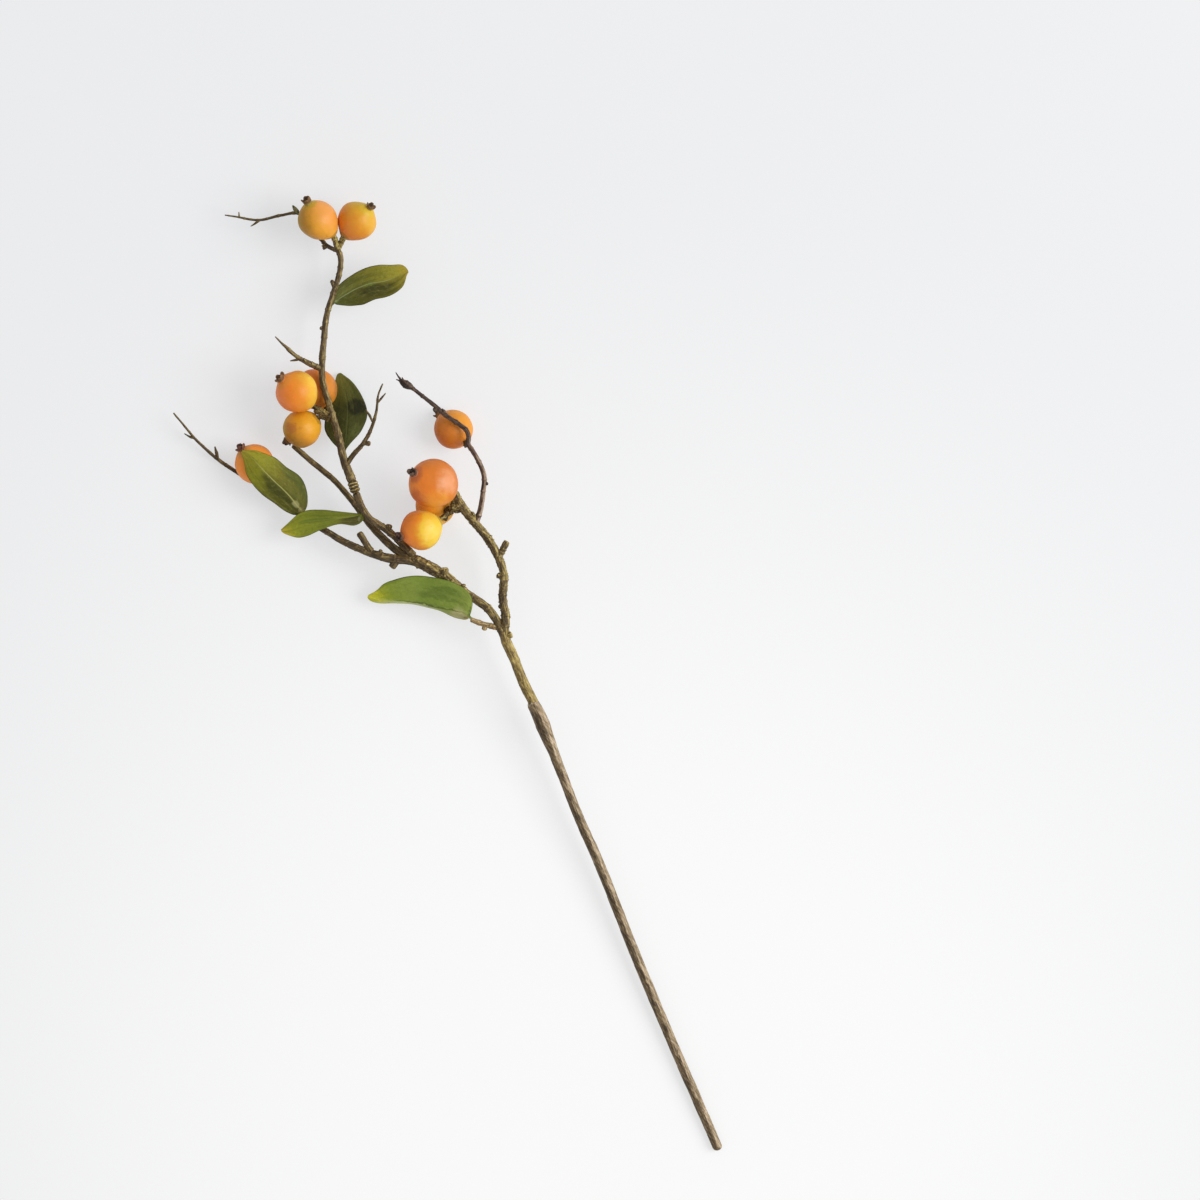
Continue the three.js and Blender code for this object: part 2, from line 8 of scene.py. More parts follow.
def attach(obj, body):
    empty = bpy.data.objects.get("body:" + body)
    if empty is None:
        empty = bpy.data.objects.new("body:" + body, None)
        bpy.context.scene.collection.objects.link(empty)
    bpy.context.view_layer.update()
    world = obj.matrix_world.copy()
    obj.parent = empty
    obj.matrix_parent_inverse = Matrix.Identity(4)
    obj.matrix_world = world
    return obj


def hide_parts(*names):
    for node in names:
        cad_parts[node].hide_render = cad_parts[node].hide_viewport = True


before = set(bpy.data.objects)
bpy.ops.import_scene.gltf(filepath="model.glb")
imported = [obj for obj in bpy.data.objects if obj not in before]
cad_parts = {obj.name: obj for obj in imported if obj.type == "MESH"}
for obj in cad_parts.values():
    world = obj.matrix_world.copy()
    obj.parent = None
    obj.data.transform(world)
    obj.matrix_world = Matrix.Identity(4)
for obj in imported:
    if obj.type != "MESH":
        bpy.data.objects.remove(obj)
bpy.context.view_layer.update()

# Routes are in millimetres from the main fork, and the fork stands here in the sprig's own frame.
FORK = np.array([34.5, 26.0, 0.0])
MM = 0.001
TAU = 2 * math.pi


def metres(points):
    """Places given in millimetres from the main fork, as metres in the sprig's frame."""
    return (np.array(points, float).reshape(-1, 3) + FORK) * MM


def paint(red, green, blue):
    """A colour as mixed on a screen, turned to the linear values that the nodes use."""
    shares = [channel / 255 for channel in (red, green, blue)]
    return tuple(c / 12.92 if c <= 0.04045 else ((c + 0.055) / 1.055) ** 2.4 for c in shares) + (1.0,)


def dimmed(colour, share):
    """A linear colour brought down to a share of its light."""
    return tuple(share * channel for channel in colour[:3]) + (1.0,)


def unit(direction):
    return tuple(Vector(direction).normalized())


# ---------------------------------------------------------------- writing node trees

class Value:
    """The output of a node, so that a pattern can be written as a sum."""

    def __init__(self, board, socket):
        self.board = board
        self.socket = socket

    def other(self, output):
        """Another output of the same node."""
        return Value(self.board, self.socket.node.outputs[output])

    def sum(self, operation, *terms):
        return self.board.add("ShaderNodeMath", {"operation": operation}, terms)

    def __add__(self, other):
        return self.sum("ADD", self, other)

    __radd__ = __add__

    def __sub__(self, other):
        return self.sum("SUBTRACT", self, other)

    def __rsub__(self, other):
        return self.sum("SUBTRACT", other, self)

    def __mul__(self, other):
        return self.sum("MULTIPLY", self, other)

    __rmul__ = __mul__

    def __truediv__(self, other):
        return self.sum("DIVIDE", self, other)

    def __rtruediv__(self, other):
        return self.sum("DIVIDE", other, self)

    def __pow__(self, other):
        return self.sum("POWER", self, other)

    def sine(self):
        return self.sum("SINE", self)

    def cosine(self):
        return self.sum("COSINE", self)

    def swell(self):
        """The natural exponential, for soft bumps."""
        return self.sum("EXPONENT", self)

    def loop(self):
        """The part after the whole number."""
        return self.sum("FRACT", self)

    def least(self, limit):
        return self.sum("MINIMUM", self, limit)

    def swing(self, strength):
        """How far a noise is above or below its middle, times a strength."""
        return (self - 0.5) * strength

    def ease(self, low, high):
        """0 below low, 1 above high and a smooth rise between them. With low above high it falls instead."""
        settings = {"interpolation_type": "SMOOTHSTEP"}
        return self.board.add("ShaderNodeMapRange", settings, [self, low, high, 0.0, 1.0])


class Board:
    """A node tree being wired. Every node comes from add()."""

    def __init__(self, tree):
        self.tree = tree

    def add(self, kind, settings=None, sockets=(), output=0):
        node = self.tree.nodes.new(kind)
        for name, value in (settings or {}).items():
            if name == "stops":
                lay_stops(node.color_ramp, value)
            elif name == "captured":
                for item in value:
                    node.capture_items.new("FLOAT", item)
            else:
                setattr(node, name, value)
        pairs = sockets.items() if isinstance(sockets, dict) else enumerate(sockets)
        for key, value in pairs:
            for one in value if isinstance(value, list) else [value]:
                if isinstance(one, Value):
                    self.tree.links.new(one.socket, node.inputs[key])
                else:
                    node.inputs[key].default_value = one
        return Value(self, node.outputs[output]) if len(node.outputs) else node

    def place(self):
        """Where a point is on the object."""
        return self.add("ShaderNodeTexCoord", output="Object")

    def stored(self, name):
        """A number that the mesh carries at each point."""
        return self.add("ShaderNodeAttribute", {"attribute_name": name}, output="Fac")

    def join(self, x, y, z):
        """A vector from three numbers."""
        return self.add("ShaderNodeCombineXYZ", {}, [x, y, z])

    def vector(self, operation, *terms, output=0):
        return self.add("ShaderNodeVectorMath", {"operation": operation}, terms, output)

    def scaled(self, vector, scale):
        return self.add("ShaderNodeVectorMath", {"operation": "SCALE"}, {"Vector": vector, "Scale": scale})

    def facing(self, vector, direction):
        """How far a unit vector points to a direction, from -1 to 1."""
        return self.vector("DOT_PRODUCT", vector, unit(direction), output="Value")

    def noise(self, vector, scale, detail=2.0, roughness=0.5, distortion=0.0):
        sockets = {"Vector": vector, "Scale": scale, "Detail": detail, "Roughness": roughness}
        return self.add("ShaderNodeTexNoise", {}, {**sockets, "Distortion": distortion})

    def cells(self, vector, scale, output="Distance"):
        return self.add("ShaderNodeTexVoronoi", {}, {"Vector": vector, "Scale": scale}, output)

    def blend(self, share, first, second):
        """Two colours mixed by a share."""
        return self.add("ShaderNodeMix", {"data_type": "RGBA"}, {0: share, 6: first, 7: second}, output=2)

    def ramp(self, share, stops):
        return self.add("ShaderNodeValToRGB", {"stops": stops}, [share])


def lay_stops(ramp, stops):
    while len(ramp.elements) < len(stops):
        ramp.elements.new(0.5)
    for element, (place, colour) in zip(ramp.elements, stops):
        element.position = place
        element.color = colour


def new_finish(name):
    """A new material and the board of its nodes."""
    material = bpy.data.materials.new(name)
    material.use_nodes = True
    material.node_tree.nodes.clear()
    return material, Board(material.node_tree)


def coat_with(board, colour, roughness, height, depth, **fixed):
    """Closes a material, with a relief of the given depth. fixed holds what is the same all over it."""
    relief = board.add("ShaderNodeBump", {}, {"Strength": 1.0, "Distance": depth, "Height": height})
    sockets = {"Base Color": colour, "Roughness": roughness, "Normal": relief, **fixed}
    shader = board.add("ShaderNodeBsdfPrincipled", {}, sockets)
    board.add("ShaderNodeOutputMaterial", {}, {"Surface": shader})


# ---------------------------------------------------------------- finishes of the wood

# A rod's relief runs from about 0 in its grooves to 1. Two values outside that mark what isn't bark.
CUT_FACE = 1.4
YOUNG_SHOOT = -1.0


def wood_finish(
        name, tints, grain, flecks, gloss, lit_side,
        mottled=(0.34, 0.3), strokes=(0.12, 90.0), lit_side_for=(1.0, 1.1)):
    """Painted or wrapped wood. The grain runs along the piece, and its hollows are darker than its ridges.

    tints are the colours of the hollows, the middle, the ridges and the flecks. grain is the width of a fibre
    and its length in millimetres, flecks the share of pale flecks, and gloss what comes off the roughness.
    lit_side is how much paler the side facing the window lamp is painted, as painted light, and where its
    edge starts and ends. lit_side_for is how many metres along the piece that painted light stays whole, and
    where it has faded. mottled is the strength of the small and the large patches, and strokes the strength
    of the slanted strokes and the radians that they turn round the piece in a metre.
    """
    material, board = new_finish(name)
    dark, middle, pale, fleck = (paint(*tint) for tint in tints)
    fibre, length = grain
    laid = board.add("ShaderNodeUVMap", {"uv_map": "Grain"})
    parts = board.add("ShaderNodeSeparateXYZ", {}, [laid])
    around = parts * TAU
    along = parts.other(1)
    turn = 2.0 / fibre
    run = 1 / (length * MM)
    lengthwise = board.join(around.cosine() * turn, around.sine() * turn, along * run)
    small, large = mottled
    stroke, slant = strokes
    slanted = around + along * slant
    twisted = board.join(slanted.cosine() * turn * 0.6, slanted.sine() * turn * 0.6, along * run * 0.8)
    place = board.place()
    relief = board.stored("relief")
    fibres = board.noise(lengthwise, 1.0, 4.0, 0.62, 0.3)
    strands = board.noise(twisted, 1.3, 3.0, 0.6)
    mottle = board.noise(place, 260.0, 3.0, 0.65)
    patches = board.noise(place, 42.0, 2.0)
    grit = board.noise(place, 1500.0, 2.0, 0.7)
    normal = board.add("ShaderNodeNewGeometry", output="Normal")
    # The side that faces the window lamp is painted paler here: painted light.
    faces_lamp = board.facing(normal, (0.72, 0.3, 0.62)) + fibres.swing(0.3) + mottle.swing(small)
    paler, near, far = lit_side
    full, none = lit_side_for
    paler = along.ease(none, full) * paler
    height = relief * 0.4 + fibres.ease(0.34, 0.66) * 0.32 + strands.ease(0.4, 0.6) * stroke - 0.1
    height = height + mottle.swing(small) + patches.swing(large) + faces_lamp.ease(near, far) * paler
    colour = board.ramp(height, [(0.16, dark), (0.46, middle), (0.78, pale), (1.0, fleck)])
    speck = (board.noise(lengthwise, 2.3, 2.0, 0.7) + grit.swing(0.3)).ease(0.8 - flecks, 0.88 - flecks)
    colour = board.blend(speck * 0.7, colour, fleck)
    crack = board.noise(lengthwise, 1.7, 3.0, 0.6).ease(0.4, 0.3)
    colour = board.blend(crack * 0.7, colour, dimmed(dark, 0.5))
    cut = relief.ease(1.05, 1.25)
    colour = board.blend(cut, colour, board.blend(mottle.ease(0.3, 0.7), middle, fleck))
    young = relief.ease(-0.4, -0.8)
    green = board.blend(mottle.ease(0.4, 0.6), paint(80, 82, 50), paint(132, 128, 86))
    colour = board.blend(young, colour, green)
    roughness = 0.6 + grit.swing(0.25) - gloss
    low_relief = fibres * 0.6 + strands * 0.3 + grit * 0.18 - crack * 0.3
    coat_with(board, colour, roughness, low_relief, 0.0006, **{"Specular IOR Level": 0.32})
    return material


WRAPPED = wood_finish(
    "wrapped paper bark", [(64, 50, 34), (116, 97, 67), (176, 154, 122), (208, 188, 160)],
    grain=(0.5, 11.0), flecks=0.06, gloss=0.14, lit_side=(0.36, 0.62, 0.86), mottled=(0.2, 0.18),
    strokes=(0.2, 150.0))
MOULDED = wood_finish(
    "moulded olive bark", [(102, 82, 44), (162, 139, 80), (206, 185, 116), (232, 216, 156)],
    grain=(0.62, 5.0), flecks=0.14, gloss=0.08, lit_side=(0.16, 0.45, 1.0))
FORKED = wood_finish(
    "branch bark", [(66, 51, 29), (114, 94, 55), (184, 163, 96), (224, 208, 142)],
    grain=(0.54, 6.0), flecks=0.16, gloss=0.08, lit_side=(0.3, 0.56, 0.96), mottled=(0.32, 0.26))
COLLAR = wood_finish(
    "collar bark", [(70, 54, 27), (126, 105, 56), (174, 152, 90), (210, 192, 134)],
    grain=(0.6, 4.0), flecks=0.12, gloss=0.08, lit_side=(0.2, 0.5, 1.0))
TAN = wood_finish(
    "pale leaf twig", [(116, 86, 50), (168, 140, 92), (210, 188, 142), (234, 218, 178)],
    grain=(0.62, 3.0), flecks=0.2, gloss=0.05, lit_side=(0.25, 0.3, 0.9))
BARK = wood_finish(
    "brown twig bark", [(62, 48, 28), (102, 83, 50), (160, 140, 86), (210, 192, 134)],
    grain=(0.52, 6.0), flecks=0.12, gloss=0.08, lit_side=(0.3, 0.56, 0.98), mottled=(0.32, 0.26))
DARK = wood_finish(
    "dark twig bark", [(46, 33, 26), (94, 71, 56), (150, 126, 104), (188, 166, 140)],
    grain=(0.5, 6.0), flecks=0.08, gloss=0.16, lit_side=(0.54, 0.5, 0.86), lit_side_for=(0.02, 0.075))
BUD = wood_finish(
    "dark bud bark", [(38, 26, 20), (66, 49, 38), (112, 90, 72), (160, 138, 112)],
    grain=(0.5, 4.0), flecks=0.05, gloss=0.12, lit_side=(0.3, 0.56, 0.92))
STALK = wood_finish(
    "stalk bark", [(44, 31, 15), (100, 80, 38), (182, 162, 92), (220, 206, 138)],
    grain=(0.7, 1.8), flecks=0.18, gloss=0.08, lit_side=(0.24, 0.5, 1.0), mottled=(0.7, 0.3))
STUB = wood_finish(
    "pale stalk bark", [(84, 60, 30), (156, 136, 70), (204, 190, 112), (230, 220, 150)],
    grain=(0.7, 1.8), flecks=0.18, gloss=0.08, lit_side=(0.24, 0.5, 1.0), mottled=(0.7, 0.3))


# ---------------------------------------------------------------- finishes of the berries

# How far a crown's colours reach up from its berry, in millimetres.
CROWN_HEIGHT = 5.4


def skin_finish(name, middle, radius, eye, stalk, warm, stops, patches, eye_tint, eye_spread):
    """Waxy berry skin. Its colour runs along the direction warm through the stops, and patches lie over that.

    A patch is a direction, a colour, and how far a point has to face that direction for none and all of it.
    eye_tint is the shoulder's colour, and eye_spread how far a point has to face the eye for that to start.
    """
    material, board = new_finish(name)
    place = board.place()
    out = board.scaled(board.vector("SUBTRACT", place, tuple(middle)), 1 / radius)
    up = board.facing(out, eye)
    drift = board.noise(place, 75.0, 2.0, 0.55)
    cloud = board.noise(place, 240.0, 3.0, 0.6)
    axis = board.scaled(unit(eye), up * 0.75)
    streaks = board.noise(board.vector("SUBTRACT", out, axis), 5.5, 4.0, 0.62)
    share = board.facing(out, warm) * 0.5 + 0.5 + drift.swing(0.4) + cloud.swing(0.12) + streaks.swing(0.24)
    colour = board.ramp(share, [(at, paint(*tint)) for at, tint in stops])
    for direction, tint, none, whole in patches:
        near = board.facing(out, direction) + drift.swing(0.55) + cloud.swing(0.2) + streaks.swing(0.25)
        colour = board.blend(near.ease(none, whole) * 0.85, colour, paint(*tint))
    shoulder = (up + cloud.swing(0.12)).ease(eye_spread, 1.02)
    colour = board.blend(shoulder * 0.85, colour, paint(*eye_tint))
    dimple = (board.facing(out, stalk) + cloud.swing(0.1)).ease(0.95, 0.99)
    colour = board.blend(dimple * 0.6, colour, paint(150, 112, 38))
    dots = board.cells(place, 620.0)
    pick = board.add("ShaderNodeSeparateXYZ", {}, [dots.other("Color")])
    pores = dots.ease(0.2, 0.06) * pick.ease(0.55, 0.75)
    colour = board.blend(pores * 0.35, colour, paint(150, 84, 30))
    scuff = (board.noise(place, 420.0, 4.0, 0.7) + streaks.swing(0.4)).ease(0.6, 0.8)
    colour = board.blend(scuff * 0.16, colour, paint(250, 214, 150))
    stain = (board.noise(place, 150.0, 4.0, 0.68) + streaks.swing(0.4)).ease(0.62, 0.8)
    colour = board.blend(stain * 0.2, colour, paint(186, 104, 40))
    roughness = 0.43 + cloud.swing(0.14) + scuff * 0.1
    fine = board.noise(place, 1300.0, 2.0, 0.6)
    height = drift * 0.9 + cloud * 0.3 + streaks * 0.25 + fine * 0.05 - pores * 0.12
    coat_with(board, colour, roughness, height, 0.0006, **{"Specular IOR Level": 0.34})
    return material


def crown_finish(name, middle, radius, eye, foot, brown):
    """A dry crown. Its neck has the colour foot. The sepals are brown, with dusty rims, and the gaps among
    them are dark with painted shade.
    """
    material, board = new_finish(name)
    foot, brown = paint(*foot), paint(*brown)
    place = board.place()
    away = board.vector("SUBTRACT", place, tuple(middle))
    along = board.facing(away, eye)
    beside = board.vector("SUBTRACT", away, board.scaled(unit(eye), along))
    off = board.vector("LENGTH", beside, output="Value")
    lifted = (along - radius) / MM
    mottle = board.noise(place, 620.0, 3.0, 0.65)
    grit = board.noise(place, 2400.0, 2.0, 0.7)
    share = lifted / CROWN_HEIGHT + mottle.swing(0.4)
    dark = dimmed(brown, 0.3)
    deep = dimmed(brown, 0.72)
    colour = board.ramp(share, [(0.1, foot), (0.38, foot), (0.56, brown), (0.78, deep), (0.95, brown)])
    # The hollow of the cup round the tuft is darkened: painted shade.
    hollow = (off / MM).ease(2.0, 1.1) * lifted.ease(2.4, 3.2)
    colour = board.blend((hollow + mottle.swing(0.5)).ease(0.25, 0.8) * 0.8, colour, dark)
    dust = (mottle + grit.swing(0.5)).ease(0.54, 0.72)
    colour = board.blend(dust * 0.5, colour, paint(168, 132, 92))
    char = (mottle + grit.swing(0.4)).ease(0.46, 0.34)
    colour = board.blend(char * 0.7 * share.ease(0.2, 0.5), colour, dark)
    coat_with(board, colour, 0.66 + grit.swing(0.2), mottle * 0.7 + grit * 0.4, 0.0005)
    return material


# ---------------------------------------------------------------- finishes of the leaves

def leaf_finish(name, left, right, tip, rib, edge, under, streak, crease, seed, bands):
    """A leaf. left and right are each half's colours from the stalk to the tip, at even steps.

    streak is how plain the midrib's pale line is, and crease how dark the lengthwise creases are. A band is a
    colour, its strength, its middle and reach across the blade, from -1 at the right edge to 1 at the left,
    and its middle and reach along it, from 0 at the stalk to 1.
    """
    material, board = new_finish(name)
    left, right = ([paint(*tint) for tint in half] for half in (left, right))
    tip, rib, edge, under = (paint(*tint) for tint in (tip, rib, edge, under))
    laid = board.add("ShaderNodeUVMap", {"uv_map": "Blade"})
    parts = board.add("ShaderNodeSeparateXYZ", {}, [laid])
    across = parts * 2 - 1
    along = parts.other(1)
    place = board.place()
    vein = board.stored("vein")
    below = board.stored("below")
    drift = board.noise(place, 60.0, 3.0, 0.55)
    mottle = board.noise(place, 330.0, 3.0, 0.65)
    grit = board.noise(place, 1700.0, 2.0, 0.7)
    folds = board.noise(board.join(across * 3.2 + seed, along * 1.7, seed), 1.0, 4.0, 0.6, 0.4)
    wander = along + drift.swing(0.28) + mottle.swing(0.06)

    def run(colours):
        step = 1 / (len(colours) - 1)
        return board.ramp(wander, [(i * step, colour) for i, colour in enumerate(colours)])

    side = (across + drift.swing(0.12)).ease(-0.12, 0.12)
    colour = board.blend(side, run(right), run(left))
    colour = board.blend((wander + mottle.swing(0.1)).ease(0.84, 1.0) * 0.85, colour, tip)
    shade = folds.ease(0.5, 0.36) + drift.swing(0.3)
    colour = board.blend(shade * crease, colour, edge)
    for tint, strength, (middle, reach), (centre, stretch) in bands:
        sideways = (across - middle + drift.swing(0.3) + mottle.swing(0.2)) / reach
        lengthwise = (along - centre + drift.swing(0.15) + mottle.swing(0.08)) / stretch
        near = (0 - sideways ** 2 - lengthwise ** 2).swell().ease(0.2, 0.65)
        colour = board.blend(near * strength, colour, paint(*tint))
    light = folds.ease(0.56, 0.7)
    colour = board.blend(light * 0.3, colour, board.blend(0.5, rib, left[-2]))
    fine = board.noise(board.join(across * 9 + along * 3, along * 22, seed), 1.0, 4.0, 0.66, 0.4)
    colour = board.blend(fine.ease(0.54, 0.7) * 0.2, colour, rib)
    colour = board.blend(fine.ease(0.47, 0.33) * 0.26, colour, edge)
    specks = board.noise(place, 850.0, 3.0, 0.7).ease(0.48, 0.34)
    colour = board.blend(specks * 0.2, colour, edge)
    width = across.sum("ABSOLUTE", across)
    rim = (width + mottle.swing(0.05)).ease(0.94, 0.99)
    colour = board.blend(rim * 0.5, colour, edge)
    line = (width * (1.0 + along * 1.6) + mottle.swing(0.03)).ease(0.07, 0.02) * along.ease(0.98, 0.6)
    colour = board.blend(line * streak * (0.4 + drift), colour, rib)
    colour = board.blend(vein * 0.07, colour, rib)
    foot = (along + mottle.swing(0.1) + width * 0.2).ease(0.12, 0.03)
    colour = board.blend(foot * 0.6, colour, board.blend(mottle.ease(0.4, 0.6), rib, edge))
    pale = (mottle + grit.swing(0.25)).ease(0.6, 0.8)
    colour = board.blend(pale * 0.14, colour, rib)
    colour = board.blend(below * 0.75, colour, board.blend(mottle * 0.5 + vein * 0.3, under, rib))
    roughness = 0.58 + mottle.swing(0.2) + below * 0.15
    height = mottle * 0.4 + grit * 0.12 + folds * 1.6 + vein * 0.3 + fine * 0.5
    coat_with(board, colour, roughness, height, 0.0003, **{"Specular IOR Level": 0.14})
    return material


# ---------------------------------------------------------------- shapes that follow a rule

def new_tree(name, sizes):
    """A modifier's node tree with named inputs. sizes gives each input's kind and usual value."""
    tree = bpy.data.node_groups.new(name, "GeometryNodeTree")
    tree.interface.new_socket("Geometry", in_out="INPUT", socket_type="NodeSocketGeometry")
    for label, usual in sizes.items():
        kind = "Int" if isinstance(usual, int) else "Float"
        socket = tree.interface.new_socket(label, in_out="INPUT", socket_type="NodeSocket" + kind)
        socket.default_value = usual
    tree.interface.new_socket("Material", in_out="INPUT", socket_type="NodeSocketMaterial")
    tree.interface.new_socket("Geometry", in_out="OUTPUT", socket_type="NodeSocketGeometry")
    board = Board(tree)
    start = board.add("NodeGroupInput")
    given = {socket.name: Value(board, socket) for socket in start.socket.node.outputs if socket.name}
    return tree, board, given


def close_tree(board, geometry, given):
    """Every tree ends in real geometry, smooth shading and the piece's material."""
    real = board.add("GeometryNodeRealizeInstances", {}, {"Geometry": geometry})
    smooth = board.add("GeometryNodeSetShadeSmooth", {}, {"Geometry": real})
    clad = board.add("GeometryNodeSetMaterial", {}, {"Geometry": smooth, "Material": given["Material"]})
    board.add("NodeGroupOutput", {}, {"Geometry": clad})


# A step of this many metres counts as the whole of the relief that the wood's colour follows.
FULL_STEP = 0.0003
WAVES_IN_A_METRE = 300


def wood_tree():
    """Wood along a curve, as thick as its radius. Its forms are grooves, lumps, scars, rings and wraps."""
    sizes = {
        "Sides": 28, "Thickness": 0.002,
        "Groove depth": 0.00016, "Groove width": 0.0008, "Groove length": 0.005,
        "Swelling": 0.0005, "Swelling length": 0.008, "Scar height": 0.0002, "Scar spacing": 0.009,
        "Wrap step": 0.0, "Wrap pitch": 0.01, "Ring height": 0.0, "Ring pitch": 0.003, "Seed": 0.0,
    }
    tree, board, given = new_tree("Length of wood", sizes)
    captured = {"captured": ["along", "thick"]}
    measures = {
        "Geometry": given["Geometry"],
        "along": board.add("GeometryNodeSplineParameter", output="Length"),
        "thick": board.add("GeometryNodeInputRadius"),
    }
    line = board.add("GeometryNodeCaptureAttribute", captured, measures)
    circle = board.add("GeometryNodeCurvePrimitiveCircle", {}, {"Resolution": given["Sides"], "Radius": 1.0})
    turn = {"Geometry": circle, "around": board.add("GeometryNodeSplineParameter")}
    ring = board.add("GeometryNodeCaptureAttribute", {"captured": ["around"]}, turn)
    swept = {"Curve": line, "Profile Curve": ring, "Scale": line.other("thick"), "Fill Caps": True}
    tube = board.add("GeometryNodeCurveToMesh", {}, swept)
    along = line.other("along")
    around = ring.other("around")
    angle = around * TAU
    seed = given["Seed"]
    reach = given["Thickness"] / given["Groove width"]
    grooves_at = board.join(
        angle.cosine() * reach + seed, angle.sine() * reach - seed, along / given["Groove length"] + seed)
    grooves = board.noise(grooves_at, 1.0, 3.0, 0.55, 0.4).ease(0.34, 0.68)
    swell_at = board.join(
        angle.cosine() * 0.55 + seed, angle.sine() * 0.55, along / given["Swelling length"] - seed)
    swelling = board.noise(swell_at, 1.0, 2.0, 0.5)
    wave = board.noise(board.join(angle.cosine(), angle.sine(), along * WAVES_IN_A_METRE + seed), 1.0, 1.0)
    scar_at = along / given["Scar spacing"] + seed + wave.swing(0.12)
    spread = board.add("ShaderNodeTexVoronoi", {"voronoi_dimensions": "1D"}, {"W": scar_at, "Scale": 1.0})
    scars = spread.ease(0.1, 0.0) * (0.5 + swelling)
    wrap = (along / given["Wrap pitch"] + around + wave.swing(0.1)).loop()
    height = grooves.swing(given["Groove depth"]) + swelling.swing(given["Swelling"])
    height = height + scars * given["Scar height"] + wrap.swing(given["Wrap step"])
    ring_wave = 0.5 + 0.5 * ((along / given["Ring pitch"] + wave.swing(0.6)) * TAU).cosine()
    height = height + ring_wave * given["Ring height"]
    body = (line.other("thick") / given["Thickness"]).least(1.0)
    lift = board.scaled(board.add("GeometryNodeInputNormal"), height * body)
    shaped = board.add("GeometryNodeSetPosition", {}, {"Geometry": tube, "Offset": lift})
    edge = (wrap.ease(0.0, 0.12) - 1) * given["Wrap step"] / FULL_STEP
    rings = ring_wave.swing(given["Ring height"]) / FULL_STEP
    relief = grooves * 0.75 + scars * 0.2 + 0.1 + edge * 0.5 + rings
    for label, value in (("along", along), ("around", around), ("relief", relief)):
        shaped = board.add(
            "GeometryNodeStoreNamedAttribute", {}, {"Geometry": shaped, "Name": label, "Value": value})
    close_tree(board, shaped, given)
    return tree


def berry_tree():
    """A berry round the origin with its eye up: nearly round, and drawn up into a shoulder at the eye."""
    sizes = {
        "Radius": 0.012, "Stalk hollow": 0.04, "Hollow spread": 0.2, "Eye rise": 0.13, "Rise spread": 0.44,
        "Length": 1.0, "Unevenness": 0.09, "Seed": 0.0,
    }
    tree, board, given = new_tree("Berry", sizes)
    ball = board.add("GeometryNodeMeshUVSphere", {}, {"Segments": 72, "Rings": 54, "Radius": 1.0})
    place = board.add("GeometryNodeInputPosition")
    height = board.add("ShaderNodeSeparateXYZ", {}, [place]).other("Z")
    angle = height.sum("ARCCOSINE", 0 - height)
    hollow = (0 - (angle / given["Hollow spread"]) ** 2).swell() * given["Stalk hollow"]
    from_eye = math.pi - angle
    rise = (0 - (from_eye / given["Rise spread"]) ** 2).swell() * given["Eye rise"]
    lumps = board.noise(board.vector("ADD", place, board.join(given["Seed"], 0.0, given["Seed"])), 1.1, 1.5)
    reach = 1 - hollow + rise + lumps.swing(given["Unevenness"])
    grown = board.scaled(board.scaled(place, reach), given["Radius"])
    grown = board.vector("MULTIPLY", grown, board.join(1.0, 1.0, given["Length"]))
    shaped = board.add("GeometryNodeSetPosition", {}, {"Geometry": ball, "Position": grown})
    close_tree(board, shaped, given)
    return tree


# The turn in radians from one thread of a tuft to the next, as seeds stand in a sunflower.
SEED_TURN = 2.4


